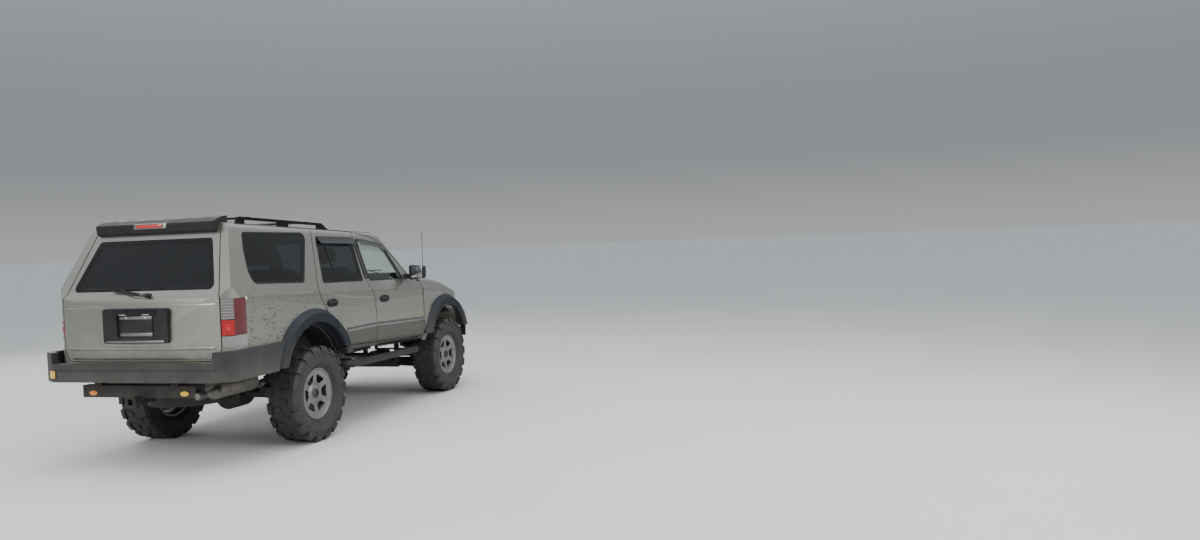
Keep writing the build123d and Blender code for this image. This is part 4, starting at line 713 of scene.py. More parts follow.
# Door handles: stations of the cup's ends, and its height
HANDLES = {"rear_door": (0.225, 0.405, 1.19), "front_door": (1.185, 1.365, 1.162)}
CUP_TALL = 0.036
CUP_RINGS = ((1.0, 0.001), (1.0, 0.005), (0.93, 0.0065), (0.84, 0.003), (0.6, 0.0012), (0.25, 0.0008))
CUP_GRIP = (
    (-0.78, 0.006, 0.004), (-0.62, 0.009, 0.017), (0, 0.011, 0.021), (0.62, 0.009, 0.017),
    (0.78, 0.006, 0.004),
)
KEY_BARREL = [(0, 0.004), (0.007, 0.004), (0.0085, 0.003), (0.0095, 0.0), (0.0095, -0.004), (0, -0.004)]
# Smoked visors: the line of each top edge, by station and height
VISORS = {
    "rear_door": ((0.375, 1.79), (0.985, 1.776)),
    "front_door": ((1.082, 1.764), (1.345, 1.736), (1.5, 1.712), (1.6, 1.668)),
}
VISOR_DROP, VISOR_OUT, VISOR_WALL, GLASS_LEAN = 0.066, 0.03, 0.0028, 0.36


def power(value, exponent):
    """A power that keeps the sign."""
    return math.copysign(abs(value) ** exponent, value)


def add_handle(door, side, look):
    """A shallow oval cup with a pull across it, and a key barrel on the front door."""
    x0, x1, z = (st(HANDLES[door][0]), st(HANDLES[door][1]), HANDLES[door][2])
    body = f"{door}_{side}"
    half = (x1 - x0) / 2
    centre, normal = look((x0 + x1) / 2, z)
    turn = facing_basis(normal)
    rings = []
    for scale, rise in CUP_RINGS:
        wide = (half - (1 - scale) * CUP_TALL) * (1 if scale > 0.9 else 0.25 + 0.75 * scale)
        rings.append([
            centre + turn @ Vector((wide * power(u, 0.75), CUP_TALL * scale * power(v, 0.85), rise))
            for u, v in oval(1, 1, 40)
        ])
    with drawn(f"handle_cup_{body}", "gloss_black", body) as bm:
        add_rings(bm, rings)
    with drawn(f"handle_pull_{body}", "trim_plastic", body) as bm:
        grip = [centre + turn @ Vector((half * u, v, out)) for u, v, out in CUP_GRIP]
        add_sweep(bm, arc_points(grip, 0.03, 4), oval(0.017, 0.0055, 12), normal)
    if door == "front_door":
        with drawn(f"key_barrel_{side}", "bright_metal", body) as bm:
            add_lathe(bm, KEY_BARREL, *look(x0 + 0.02, z - 0.055), 20)


def visor_grid(look, path, sign):
    """The outer face of a visor that leans out from a door's window frame."""
    rows = []
    slope = [
        (0.0035 + VISOR_OUT * u ** 1.3 + GLASS_LEAN * VISOR_DROP * u, VISOR_DROP * u)
        for u in spaced(0.0, 1.0, 6)
    ]
    for x, z in spread([(st(s), h) for s, h in path], parts=8):
        top = look(x, z + 0.012) or look(x, z + 0.02)
        if top:
            rows.append([top[0] + Vector((0, sign * out, -drop)) for out, drop in slope])
    return rows


for side, sign in SIDES:
    for name, node, finish, width, height, path in SIDE_STRIPS:
        with drawn(f"{name}_{side}", finish, f"{DOOR_OF[node]}_{side}" if node in DOOR_OF else ROOT) as bm:
            add_strip(bm, from_side(sign, f"{node}_{side}"), [(st(s), h) for s, h in path], width, height)
    for door, node in (("rear_door", "door_rear"), ("front_door", "door_front")):
        look = from_side(sign, f"{node}_{side}")
        add_handle(door, side, look)
        with drawn(f"visor_{door}_{side}", "smoke", f"{door}_{side}") as bm:
            outer = visor_grid(look, VISORS[door], sign)
            add_slab(bm, outer, [[p - Vector((0, sign * VISOR_WALL, 0)) for p in row] for row in outer])
    y0, y1 = sorted((sign * 0.898, sign * 1.018))
    mirror_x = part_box(f"door_mirror_{side}")[0].x
    blocks(
        f"mirror_glass_{side}", "silver", [(-0.0015, y0, 1.345, 0.004, y1, 1.458, 0.0025, 2)], mirror_x,
        f"front_door_{side}",
    )

with drawn("filler_door", "body_paint") as bm:
    add_pad(bm, from_side(1, "side_panel_left")(st(-0.6), 1.21), 0.085, 0.085, -0.004, 0.0016, 0.02, 4)


# Tail

on_trim = from_rear("tailgate_trim")
on_gate = from_rear("tailgate")
on_gate_glass = from_rear("glass_tailgate")
PLATE_Y = 0.152

# Number plate with its frame and screws, and the recess round it
plate_x = on_trim(0.0, 1.131)[0].x
face_x = on_trim(0.0, 1.245)[0].x
spoiler_x = on_trim(0.03, 1.916)[0].x
LAMP_WALL = 0.0022
for name, finish, base, rows in (
    ("blank_plate", "trim_plastic", plate_x, [
        (-0.0042, -PLATE_Y, 1.055, -0.0002, PLATE_Y, 1.207, 0.0018, 2)
    ]),
    ("plate_frame", "alloy", plate_x, [
        (-0.0062, -PLATE_Y, z0, -0.003, PLATE_Y, z1, 0.0012, 2) for z0, z1 in ((1.186, 1.209), (1.053, 1.079))
    ]),
    ("plate_lamp_bar", "gloss_black", face_x, [(-0.01, -0.205, 1.224, 0.006, 0.205, 1.264, 0.006, 3)]),
    ("plate_lamps", "white", face_x, [
        (-0.006, y - 0.032, 1.2195, 0.004, y + 0.032, 1.227, 0.002, 2) for y in (-0.11, 0.11)
    ]),
    ("plate_lip", "alloy", face_x, [(-0.007, -0.272, 1.004, 0.004, 0.272, 1.02, 0.003, 2)]),
    # High brake lamp and its rim, in the housing under the spoiler
    ("brake_lamp", "bright_red", spoiler_x, [(-0.0165, -0.092, 1.903, -0.009, 0.152, 1.929, 0.003, 2)]),
    ("brake_lamp_rim", "alloy", spoiler_x, [
        (-0.0152, -0.096, z - LAMP_WALL, -0.009, 0.156, z + LAMP_WALL, 0.001, 1) for z in (1.9005, 1.9315)
    ] + [
        (-0.0152, y - LAMP_WALL, 1.899, -0.009, y + LAMP_WALL, 1.933, 0.001, 1) for y in (-0.096, 0.156)
    ]),
):
    blocks(name, finish, rows, base, GATE)
housing = (-0.012, -0.125, 1.893, 0.02, 0.185, 1.938, 0.009, 3)
blocks("brake_lamp_housing", "body_paint", [housing], spoiler_x, GATE, sharp=50)
with drawn("plate_screws", "bright_metal", GATE) as bm:
    for y in (-0.0889, 0.0889):
        add_lathe(bm, [(0, 0.004), (0.003, 0.0038), (0.0065, 0.0022), (0.007, 0.0), (0, 0)],
                  (plate_x - 0.0062, y, 1.1975), REARWARD, 16)
with drawn("plate_recess_edge", "gloss_black", GATE) as bm:
    corners = [(-0.172, 1.044), (0.172, 1.044), (0.172, 1.218), (-0.172, 1.218), (-0.172, 1.044)]
    edge = arc_points([(face_x - 0.001, y, z) for y, z in corners], 0.012)
    add_sweep(bm, edge, oval(0.003, 0.003), REARWARD)

GATE_STRIPS = (
    # Name, finish, height on the vehicle, spans of Y, width, rise
    ("tailgate_ledge", "body_paint", 0.952, ((-0.69, 0.69),), 0.026, 0.0065),
    ("tailgate_lower_strip", "alloy", 0.872, ((-0.655, 0.655),), 0.014, 0.004),
    ("tailgate_crease", "body_paint", 1.285, ((-0.7, -0.315), (0.315, 0.7)), 0.02, 0.0025),
)
for name, finish, z, spans, width, height in GATE_STRIPS:
    with drawn(name, finish, GATE) as bm:
        for y0, y1 in spans:
            add_strip(bm, on_gate, [(y0, z), (y1, z)], width, height, 0.4, 0.7)

# Rear wiper over the plain arm: pivot cap, tapered arm, blade
pivot = from_rear("tailgate", "glass_tailgate", "tailgate_trim")(-0.095, 1.368)[0]
tip = on_gate_glass(0.27, 1.42)[0]
with drawn("wiper_arm", "gloss_black", GATE) as bm:
    cap = [(0, 0.034), (0.008, 0.033), (0.015, 0.028), (0.018, 0.018), (0.018, 0), (0.02, -0.004),
           (0, -0.004)]
    add_lathe(bm, cap, pivot, (-1, 0, 0.1), 24)
    arm = [pivot + Vector(step) for step in ((-0.022, 0, 0), (-0.03, 0.05, 0.012), (-0.026, 0.17, 0.032))]
    add_sweep(
        bm, arc_points([*arm, tip + Vector((-0.02, -0.06, 0.006))], 0.03),
        [(-0.009, -0.003), (-0.006, 0.004), (0.006, 0.004), (0.009, -0.003)], Vector((-1, 0, 0.3)),
    )
with drawn("wiper_blade", "seal", GATE) as bm:
    blade, _ = trace(on_gate_glass(y, 1.418) for y in spaced(0.02, 0.48, 15))
    add_sweep(
        bm, [p + Vector((-0.008, 0, 0)) for p in blade],
        [(-0.006, -0.007), (-0.006, 0.002), (0, 0.006), (0.006, 0.002), (0.002, -0.007)],
        Vector((-1, 0, 0.4)),
    )

# Tail lamps: black edges between the bands of the lens, and the spot before the bulb
on_lamp = from_rear("tail_lamps")
for side, sign in SIDES:
    with drawn(f"lamp_dividers_{side}", "seal") as bm:
        for z in (1.042, 1.166):
            add_traced(bm, (on_lamp(sign * y, z) for y in spaced(0.752, 0.826, 12)),
                       [(-0.003, -0.002), (-0.003, 0.002), (0.003, 0.002), (0.003, -0.002)])
    with drawn(f"lamp_bulb_spot_{side}", "bright_red") as bm:
        add_lathe(bm, [(0, 0.0035), (0.012, 0.003), (0.022, 0.002), (0.0235, 0.0), (0, -0.002)],
                  *on_lamp(sign * 0.786, 1.105), 28)

# Rear bumper: ribs on the step, a seam and a reflector
on_bumper = from_rear("rear_bumper")
on_step = from_above("rear_bumper")
STEP_Z = 0.8
with drawn("bumper_step_ribs", "trim_plastic") as bm:
    for row in range(5):
        found = on_step(-2.312 + row * 0.017, 0.0)
        if found and found[0].z >= STEP_Z:
            add_sweep(bm, [found[0] + Vector((0, y, 0)) for y in (-0.62, 0.62)],
                      [(-0.003, -0.002), (-0.003, 0.002), (0.0, 0.0032), (0.003, 0.002), (0.003, -0.002)])
with drawn("bumper_seam", "trim_plastic") as bm:
    add_traced(bm, (on_bumper(y, 0.795) for y in spaced(-0.8, 0.8, 41)),
               [(-0.006, -0.003), (-0.005, 0.002), (0.005, 0.002), (0.006, -0.003)])
with drawn("bumper_reflector", "yellow") as bm:
    add_pad(bm, on_bumper(0.742, 0.762), 0.034, 0.03, -0.002, 0.006, 0.003)

# Tow hitch: collar on the socket, chain loops and two reflectors on the cross bar
HITCH_Z = 0.549
SOCKET, COLLAR = 0.0325, 0.04
hitch_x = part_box("tow_hitch")[0].x
collar = []
for low, high in ((SOCKET, COLLAR), (-COLLAR, -SOCKET)):
    collar.append((0.001, -COLLAR, HITCH_Z + low, 0.026, COLLAR, HITCH_Z + high, 0.0025, 2))
    collar.append((0.001, low, HITCH_Z - SOCKET, 0.026, high, HITCH_Z + SOCKET, 0.0025, 2))
blocks("hitch_collar", "frame_black", collar, hitch_x)
with drawn("hitch_chain_loops", "frame_black") as bm:
    for sign in (-1, 1):
        centre = Vector((hitch_x + 0.115, sign * 0.105, HITCH_Z - 0.012))
        turns = spaced(0.0, math.pi, 17)
        bow = [centre + Vector((-0.034 * math.sin(a), 0.03 * math.cos(a), 0)) for a in turns]
        add_sweep(bm, bow, oval(0.006, 0.006, 10))
for name, y in (("orange", 0.43), ("yellow", -0.43)):
    with drawn(f"hitch_reflector_{name}", name) as bm:
        lens = [(0, 0.0055), (0.014, 0.005), (0.019, 0.0035), (0.0205, 0.0), (0.0205, -0.002), (0, -0.002)]
        add_lathe(bm, lens, (0, 0, 0), REARWARD, 28)
        bmesh.ops.scale(bm, vec=(1, 1.9, 0.95), verts=bm.verts)
        bmesh.ops.translate(bm, vec=from_rear("tow_hitch")(y, 0.605)[0], verts=bm.verts)

with drawn("exhaust_tip", "dark_metal") as bm:
    pipe = [(0.0225, 0.0), (0.0295, 0.0), (0.0305, 0.004), (0.03, 0.075), (0.0285, 0.08), (0.0262, 0.078)]
    add_lathe(bm, pipe, (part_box("exhaust")[0].x - 0.0015, -0.58, 0.5905), (1, -0.02, 0.045), 32, closed=True)


# Roof

on_roof = from_above("roof_panel", "side_panel_left", "side_panel_right")
STRIP_PROFILE = [(-0.009, -0.004), (-0.008, 0.0022), (0.0, 0.0038), (0.008, 0.0022), (0.009, -0.004)]
RIB_PROFILE = [(-0.02, -0.003), (-0.014, 0.0026), (0.014, 0.0026), (0.02, -0.003)]
for side, sign in SIDES:
    with drawn(f"roof_strip_{side}", "seal") as bm:
        found = [on_roof(x, sign * 0.588) for x in spaced(st(-0.66), st(1.56), 60)]
        add_traced(bm, (spot for spot in found if spot and spot[1].z > 0.3), STRIP_PROFILE)
with drawn("roof_ribs", "body_paint") as bm:
    for y in (-0.4, -0.2, 0.0, 0.2, 0.4):
        add_traced(bm, (on_roof(x, y) for x in spaced(st(-0.55), st(1.45), 50)), RIB_PROFILE)


# Nose

on_grille = from_front("grille")
low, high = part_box("grille")
with drawn("grille_bars", "alloy") as bm:
    for z in spaced(low.z + 0.028, high.z - 0.028, 5):
        add_traced(bm, (on_grille(y, z) for y in spaced(-0.37, 0.37, 33)),
                   [(-0.006, -0.003), (-0.005, 0.006), (0.005, 0.008), (0.006, -0.003)])
on_headlamp = from_front("headlamps")
LAMP_Z = 0.972
for side, sign in SIDES:
    with drawn(f"headlamp_bowls_{side}", "bright_metal") as bm:
        for y, r in ((0.5, 0.052), (0.63, 0.046)):
            place, normal = on_headlamp(sign * y, LAMP_Z)
            bowl = [(0, -0.012), (0.012, -0.012), (r * 0.5, -0.008), (r * 0.9, 0.001), (r, 0.004),
                    (r, 0.0015), (r * 0.9, -0.004), (0, -0.016)]
            add_lathe(bm, bowl, place + normal * 0.001, normal, 32)
    with drawn(f"side_marker_{side}", "orange", slot="headlamp_lens") as bm:
        add_pad(bm, on_headlamp(sign * 0.715, LAMP_Z), 0.05, 0.026, -0.002, 0.004, 0.003)
slot_x = from_front("front_bumper")(0.0, 0.8)[0].x - 0.03
with drawn("air_slot_bars", "trim_plastic") as bm:
    for z in (0.665, 0.685, 0.705, 0.725):
        add_sweep(bm, [Vector((slot_x, -0.362, z)), Vector((slot_x, 0.362, z))], oval(0.004, 0.004))

# Front wipers: a blade on the glass, and an arm from the cowl
on_screen = from_front("fixed_glass")
on_cowl = from_above("bulkhead")
for name, y0, y1 in (("left", 0.18, 0.62), ("right", -0.46, -0.02)):
    with drawn(f"front_wiper_{name}", "seal") as bm:
        points, normals = trace(on_screen(y, 1.425) for y in spaced(y0, y1, 13))
        points = [p + n * 0.009 for p, n in zip(points, normals)]
        blade = [(-0.006, -0.008), (-0.006, 0.003), (0.0, 0.007), (0.006, 0.003), (0.002, -0.008)]
        add_sweep(bm, points, blade, normals)
        foot = on_cowl(points[0].x + 0.09, y0)[0]
        grip = points[len(points) // 2] + normals[0] * 0.008
        arm = arc_points([foot + Vector((0, 0, -0.004)), foot + Vector((0, 0, 0.028)), grip], 0.02)
        add_sweep(bm, arm, oval(0.0055, 0.0055), SIDEWAYS)


# Wheels: drawn about the wheel's own axle, outer face towards -Y

TYRE_SIDE = 0.1449
SIDEWALL = ((0.108, 0.236), (0.132, 0.27), (0.144, 0.32), (0.138, 0.372))


def polar(radius, degrees, y):
    """A point about the axle."""
    a = math.radians(degrees)
    return Vector((radius * math.cos(a), y, radius * math.sin(a)))


def add_lug(bm, rows, degrees, twist=0.0):
    """A tread block. Rows: radius, half length along the tread, low and high Y."""
    rings = []
    for radius, half, low, high in rows:
        turn = math.degrees(half / radius)
        corners = ((-turn, low), (turn, low), (turn, high), (-turn, high))
        rings.append([polar(radius, degrees + a + twist * y, y) for a, y in corners])
    add_rings(bm, rings)


def draw_tread(bm):
    """Centre blocks between the shoulder lugs, and shoulder blocks."""
    for index in range(36):
        near, far = (0.004, 0.066) if index % 2 else (-0.066, -0.004)
        rows = [(0.4035, 0.025, near, far), (0.4145, 0.0235, near + 0.001, far - 0.001),
                (0.4165, 0.0215, near + 0.003, far - 0.003)]
        add_lug(bm, rows, index * 10.0, 35.0 if index % 2 else -35.0)
        if index % 2:
            continue
        for side in (-1, 1):
            low, high = sorted((side * 0.093, side * 0.118))
            rows = [(0.3995, 0.016, low, high), (0.4105, 0.015, low + 0.001, high - 0.001),
                    (0.4125, 0.013, low + 0.003, high - 0.003)]
            add_lug(bm, rows, index * 10.0 - (0.0 if side < 0 else 10.0))


def sidewall_y(radius):
    """How far the plain sidewall stands from the tyre's middle at a radius."""
    for (y0, r0), (y1, r1) in zip(SIDEWALL, SIDEWALL[1:]):
        if r0 <= radius <= r1:
            return y0 + (y1 - y0) * (radius - r0) / (r1 - r0)


def draw_sidewall(bm):
    """Moulded rings and shoulder bars on both sidewalls."""
    for side in (-1, 1):
        for radius, width, height in ((0.247, 0.004, 0.003), (0.262, 0.0025, 0.0018), (0.33, 0.0025, 0.0008)):
            y = sidewall_y(radius)
            rows = [(-width, -0.004), (-width * 0.6, height * 0.6), (0, height), (width * 0.6, height * 0.6),
                    (width, width - 0.004)]
            outline = [(radius + across, min(y + out, TYRE_SIDE)) for across, out in rows]
            add_lathe(bm, outline, (0, 0, 0), (0, side, 0), 96, closed=True)
        for index in range(36):
            rings = []
            for radius, half in ((0.338, 0.0035), (0.366, 0.0075)):
                y = sidewall_y(radius)
                foot, crest = side * (y - 0.003), side * min(y + 0.0032, TYRE_SIDE)
                turn = math.degrees(half / radius)
                corners = ((-turn, foot), (-turn * 0.8, crest), (turn * 0.8, crest), (turn, foot))
                rings.append([polar(radius, index * 10.0 + 5.0 + a, y) for a, y in corners])
            add_rings(bm, rings)


def draw_nuts(bm):
    """Six lug nuts and the valve."""
    nut = [(0, -0.074), (0.006, -0.0735), (0.0098, -0.07), (0.0105, -0.066), (0.0105, -0.052),
           (0.0125, -0.049), (0.0125, -0.045)]
    valve = [(0, -0.104), (0.0035, -0.104), (0.004, -0.09), (0.005, -0.086), (0.006, -0.06)]
    for index in range(6):
        add_lathe(bm, nut, polar(0.0635, index * 60.0 + 30.0, 0), SIDEWAYS, 6)
    add_lathe(bm, valve, polar(0.178, 30.0, 0), SIDEWAYS, 10)


def draw_cap(bm):
    """The open hub: a collar round the axle end, with a plain domed cap inside."""
    collar = [(0.034, -0.05), (0.034, -0.088), (0.0365, -0.09), (0.0405, -0.088), (0.0425, -0.078),
              (0.0425, -0.05)]
    dome = [(0, -0.078), (0.012, -0.077), (0.024, -0.072), (0.03, -0.064), (0.0345, -0.062),
            (0.0345, -0.05), (0, -0.05)]
    add_lathe(bm, collar, (0, 0, 0), SIDEWAYS, 40, closed=True)
    add_lathe(bm, dome, (0, 0, 0), SIDEWAYS, 40)


def draw_disc(bm):
    """A brake disc inside the rim."""
    outline = [(0.075, 0.01), (0.16, 0.01), (0.162, 0.012), (0.162, 0.02), (0.16, 0.022), (0.075, 0.022)]
    add_lathe(bm, outline, (0, 0, 0), SIDEWAYS, 64, closed=True)


WHEEL_MESHES = []
for name, draw, finish, slot_name in (
    ("tread_blocks", draw_tread, "tyre_rubber", "tyre_rubber"),
    ("sidewall_ribs", draw_sidewall, "tyre_rubber", "tyre_rubber"),
    ("lug_nuts", draw_nuts, "bright_metal", "bright_metal"),
    ("hub_cap", draw_cap, "dark_metal", "bright_metal"),
    ("brake_disc", draw_disc, "brake_iron", "cast_metal"),
):
    bm = bmesh.new()
    draw(bm)
    WHEEL_MESHES.append((mesh_from(bm, name, finish), slot_name))
for end, x in (("rear", REAR_X), ("front", FRONT_X)):
    for side, sign in SIDES:
        place = Matrix.Translation((x, sign * WHEEL_Y, AXLE_Z))
        if sign > 0:
            place = place @ Matrix.Rotation(math.pi, 4, "Z")
        for mesh, slot_name in WHEEL_MESHES:
            piece = add_object(f"{mesh.name}_{end}_{side}", mesh)
            piece.matrix_world = place
            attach(piece, f"road_wheel_{end}_{side}")


# Springs and dampers

WIRE = 0.0075


def coil_points(centre, radius, low, high, turns):
    """The wire of a coil spring with flattened end turns."""
    points = []
    for t in spaced(0.0, 1.0, int(turns * 20) + 1):
        a = 2 * math.pi * turns * t
        flat = min(1.0, max(0.0, (t * turns - 0.6) / (turns - 1.2)))
        z = low + WIRE + (high - low - 2 * WIRE) * flat
        points.append(Vector((centre[0] + radius * math.cos(a), centre[1] + radius * math.sin(a), z)))
    return points


for node, turns in (("rear_springs", 5.0), ("front_springs", 6.5)):
    low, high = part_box(node)
    x, half_z = (low.x + high.x) / 2, (low.z + high.z) / 2
    radius = (high.x - low.x) / 2
    damper = [(0, low.z), (0.026, low.z), (0.026, half_z + 0.01), (0.014, half_z + 0.012), (0.014, high.z),
              (0, high.z)]
    seat = [(0, high.z - 0.012), (radius, high.z - 0.01), (radius, high.z), (0, high.z)]
    with drawn(f"{node}_coils", "frame_black") as bm:
        for sign in (-1, 1):
            y = sign * (high.y - radius)
            add_sweep(bm, coil_points((x, y), radius - 0.0085, low.z, high.z, turns), oval(WIRE, WIRE, 10))
            add_lathe(bm, damper, (x, y, 0), UP, 24)
            add_lathe(bm, seat, (x, y, 0), UP, 32)
    piece = bpy.data.objects[f"{node}_coils"]
    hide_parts(node)


# Cabin

SEAM_DEEP, SEAM_WIDE = 0.01, 0.018


def cushion(name, corners, y_low, y_high, crown, seams, cuts=12, fill=0.7):
    """A crowned pad over a side outline of four corners: bottom rear, bottom front, top front, top rear.

    Corners are station and height in millimetres. Seams are places across the pad, from 0 to 1.
    """
    a, b, c, d = [Vector((st(s / 1000), 0, h / 1000)) for s, h in corners]
    count = max(6, int((y_high - y_low) / 0.03))
    raised = ((d - a) + (c - b)).normalized()
    top, bottom = [], []
    for u in spaced(0.0, 1.0, cuts + 1):
        top.append([])
        bottom.append([])
        for v in spaced(0.0, 1.0, count + 1):
            across = Vector((0, y_low + (y_high - y_low) * v, 0))
            swell = max(0.0, 1 - (2 * u - 1) ** 4) ** 0.6 * max(0.0, 1 - (2 * v - 1) ** 4) ** 0.6
            groove = sum(SEAM_DEEP * math.exp(-((v - s) / SEAM_WIDE) ** 2) for s in seams)
            top[-1].append(d.lerp(c, u) + raised * (swell * (crown - groove) - crown) + across)
            bottom[-1].append(a.lerp(b, u) + across)
    with drawn(name, "seat_cloth", sharp=75) as bm:
        add_slab(bm, top, bottom)
    piece = bpy.data.objects[name]
    rounding = piece.modifiers.new("rounding", "BEVEL")
    rounding.width = 0.018
    rounding.segments = 3
    rounding.limit_method = "ANGLE"
    rounding.angle_limit = math.radians(50)
    smooth = piece.modifiers.new("smooth", "SUBSURF")
    smooth.levels = smooth.render_levels = 1
    return piece


SEATS = (
    # Name, inner and outer Y, side outline, crown, seams, and cuts where they aren't the usual number
    ("front_seat_base", 0.132, 0.618, ((1090, 832), (1508, 832), (1542, 962), (1130, 952)),
     0.034, (0.2, 0.8)),
    ("front_seat_back", 0.132, 0.618, ((1052, 985), (912, 1498), (1014, 1498), (1172, 985)),
     0.03, (0.2, 0.8)),
    ("front_headrest", 0.255, 0.495, ((905, 1540), (906, 1684), (984, 1684), (1008, 1540)), 0.016, (), 6),
)
BENCH = (
    ("bench_base", ((310, 822), (735, 822), (768, 1006), (408, 990)), 0.034),
    ("bench_back", ((298, 980), (190, 1500), (266, 1505), (400, 1000)), 0.024),
)
front_pads = [
    cushion(f"{name}_{side}", outline, *sorted((sign * inner, sign * outer)), *rest)
    for side, sign in SIDES for name, inner, outer, outline, *rest in SEATS
]
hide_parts("front_seats")
bench = [
    cushion(f"{name}_{place}", outline, y0, y1, crown, (0.25, 0.75))
    for place, y0, y1 in (("left", 0.192, 0.532), ("centre", -0.178, 0.178), ("right", -0.532, -0.192))
    for name, outline, crown in BENCH
]
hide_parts("rear_seat")

# Dashboard details: binnacle hood, vents and centre stack
dash = surface_of("dashboard")
blocks("dash_binnacle", "dash_plastic", [
    (st(1.745), 0.18, 1.235, st(1.9), 0.56, 1.315, 0.03, 4),
    (st(1.735), -0.16, 0.86, st(1.83), 0.14, 1.235, 0.025, 3),
])
vents = []
for y in (-0.6, -0.3, 0.14, 0.62):
    for z in spaced(1.172, 1.228, 5):
        found = land(dash, (st(1.5), y, z), (1, 0, 0))
        if found:
            x = found[0].x
            vents.append((x - 0.006, y - 0.055, z - 0.003, x + 0.004, y + 0.055, z + 0.003, 0.001, 1))
blocks("dash_vents", "gloss_black", vents, slot="dash_plastic")
blocks("centre_console", "dash_plastic", [(st(1.00), -0.105, 0.802, st(1.72), 0.105, 0.99, 0.03, 4)])
with drawn("inside_mirror", "dash_plastic") as bm:
    add_block(bm, (st(1.508), -0.115, 1.633), (st(1.532), 0.115, 1.697), 0.01, 3)
    add_sweep(bm, [Vector((st(1.53), 0, 1.668)), Vector((st(1.6), 0, 1.712))], oval(0.006, 0.006), SIDEWAYS)

# Inner linings: door cards with armrests, cargo side trims, and the headlining
LINING_STEPS = 14
CARDS = {
    # CAD node, stations, heights
    "rear_door": ("door_rear", (0.46, 0.96), (0.8, 1.3)),
    "front_door": ("door_front", (1.15, 1.62), (0.77, 1.28)),
}


def add_lining(name, finish, body, node, spot, aim, rise):
    """A padded panel over the face that rays find on a CAD node, thinning to nothing at its edges."""
    target, aim = surface_of(node), Vector(aim)
    shown, hidden = [], []
    reach = 0.5
    for u in spaced(0.0, 1.0, LINING_STEPS + 1):
        shown.append([])
        hidden.append([])
        for v in spaced(0.0, 1.0, LINING_STEPS + 1):
            start = Vector(spot(u, v))
            found = land(target, start, aim)
            reach = (found[0] - start).length if found else reach
            inward = min(u, 1 - u, v, 1 - v) * LINING_STEPS
            height = 0.0015 + rise * min(1.0, inward / 1.5)
            shown[-1].append(start + aim * (reach - height))
            hidden[-1].append(start + aim * (reach + 0.003))
    with drawn(name, finish, body, sharp=50) as bm:
        add_slab(bm, shown, hidden)


for side, sign in SIDES:
    outward = (0, sign, 0)
    for door, (node, stations, (z0, z1)) in CARDS.items():
        body = f"{door}_{side}"
        x0, x1 = (st(s) for s in stations)
        add_lining(
            f"door_card_{body}", "door_card", body, f"{node}_{side}",
            lambda u, v: (x0 + (x1 - x0) * u, sign * 0.3, z0 + (z1 - z0) * v), outward, 0.009,
        )
        wall_y = land(surface_of(f"{node}_{side}"), ((x0 + x1) / 2, sign * 0.3, 1.03), outward)[0].y
        y0, y1 = sorted((wall_y - sign * 0.048, wall_y - sign * 0.002))
        armrest = (x0 + 0.09, y0, 1.012, x1 - 0.06, y1, 1.052, 0.014, 4)
        blocks(f"armrest_{body}", "leather", [armrest], body=body)
    add_lining(
        f"cargo_trim_{side}", "door_card", ROOT, f"side_panel_{side}",
        lambda u, v: (st(-0.78) + 0.86 * u, sign * 0.3, 0.99 + 0.23 * v), outward, 0.008,
    )
add_lining(
    "headlining", "headlining", ROOT, "roof_panel",
    lambda u, v: (st(-0.62) + 2.0 * u, 0.46 - 0.92 * v, 1.45), (0, 0, 1), 0.006,
)


# Camera, light and floor

CAMERA_SPOT = (-7.1496 + REAR_X, -5.4651, 1.6769)
YAW, PITCH, ROLL = 0.2722, -0.0332, -0.0376
FOCAL_PX, IMAGE_PX, SENSOR_MM = 929.139, 1200.0, 36.0
FLOOR_REACH = 400.0

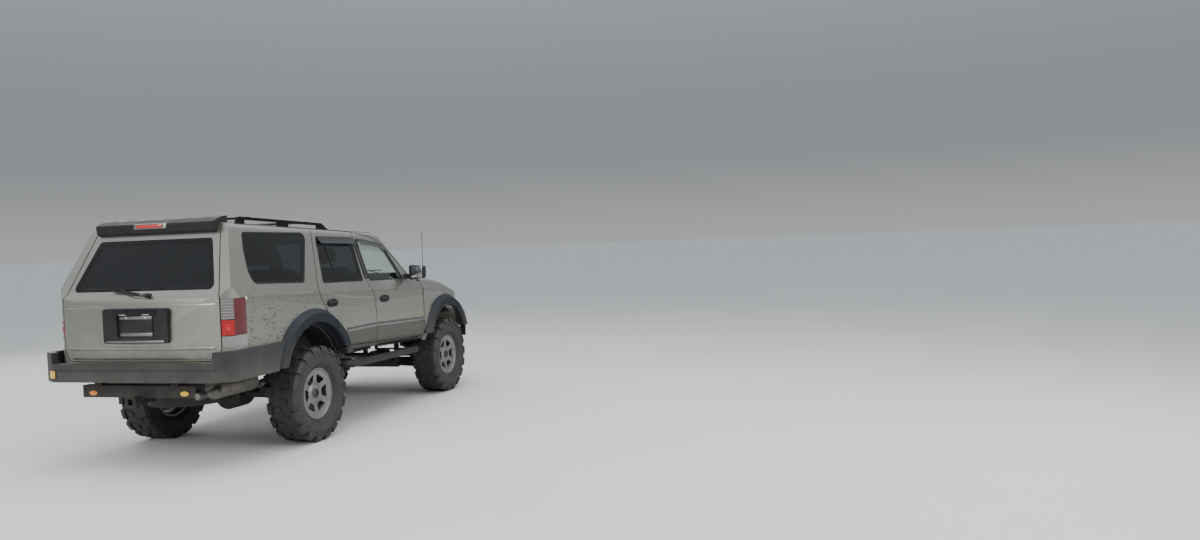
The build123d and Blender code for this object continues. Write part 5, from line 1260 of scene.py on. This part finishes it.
ahead = Vector((math.cos(YAW) * math.cos(PITCH), math.sin(YAW) * math.cos(PITCH), math.sin(PITCH)))
right = Vector((math.sin(YAW), -math.cos(YAW), 0))
above = right.cross(ahead)
rolled_right = right * math.cos(ROLL) + above * math.sin(ROLL)
rolled_up = -right * math.sin(ROLL) + above * math.cos(ROLL)
camera_data = bpy.data.cameras.new("photo_view")
camera_data.sensor_width = SENSOR_MM
camera_data.lens = FOCAL_PX / IMAGE_PX * SENSOR_MM
camera = add_object("photo_view", camera_data)
facing = Matrix((rolled_right, rolled_up, -ahead)).transposed().to_4x4()
camera.matrix_world = Matrix.Translation(CAMERA_SPOT) @ facing
bpy.context.scene.camera = camera


def area_light(name, spot, aim, size, power_watts, color=(1, 1, 1)):
    """A soft rectangular light aimed at a point."""
    data = bpy.data.lights.new(name, "AREA")
    data.shape = "RECTANGLE"
    data.size, data.size_y = size
    data.energy = power_watts
    data.color = color
    direction = Vector(aim) - Vector(spot)
    turn = direction.to_track_quat("-Z", "Y").to_matrix().to_4x4()
    add_object(name, data).matrix_world = Matrix.Translation(spot) @ turn


area_light("sky_panel", (-0.5, -1.5, 8.0), (0, 0, 0.6), (9.0, 7.0), 620.0, (0.95, 0.98, 1.0))
area_light("side_panel_light", (-2.5, -8.5, 4.2), (0, 0, 0.9), (8.0, 3.5), 420.0)
area_light("tail_panel_light", (-9.0, 1.5, 3.8), (-1.5, 0, 0.9), (5.0, 3.5), 330.0)
area_light("far_panel_light", (3.5, 8.0, 5.0), (0, 0, 0.8), (7.0, 3.5), 260.0)

world = bpy.context.scene.world or bpy.data.worlds.new("studio")
bpy.context.scene.world = world
world.use_nodes = True
sky = Nodes(world.node_tree, "Generated")
height = sky.axes()[2]
low_sky = sky.mix(sky.ramp(height, -0.02, 0.1), (0.56, 0.57, 0.58), (0.36, 0.38, 0.4))
sky.feed(sky.tree.nodes["Background"], {
    "Color": sky.mix(sky.ramp(height, 0.1, 0.75), low_sky, (1.15, 1.22, 1.3)), "Strength": 0.75,
})

concrete = Skin("studio_floor")
tone = concrete.mix(concrete.noise(0.8, 4.0), (0.56, 0.56, 0.55), (0.61, 0.61, 0.6))
mesh = bpy.data.meshes.new("studio_floor")
corners = [(FLOOR_REACH * u, FLOOR_REACH * v, 0.0) for u, v in ((-1, -1), (1, -1), (1, 1), (-1, 1))]
mesh.from_pydata(corners, [], [(0, 1, 2, 3)])
mesh.materials.append(concrete.done(tone, {"Roughness": 0.85}))
floor = add_object("studio_floor", mesh)
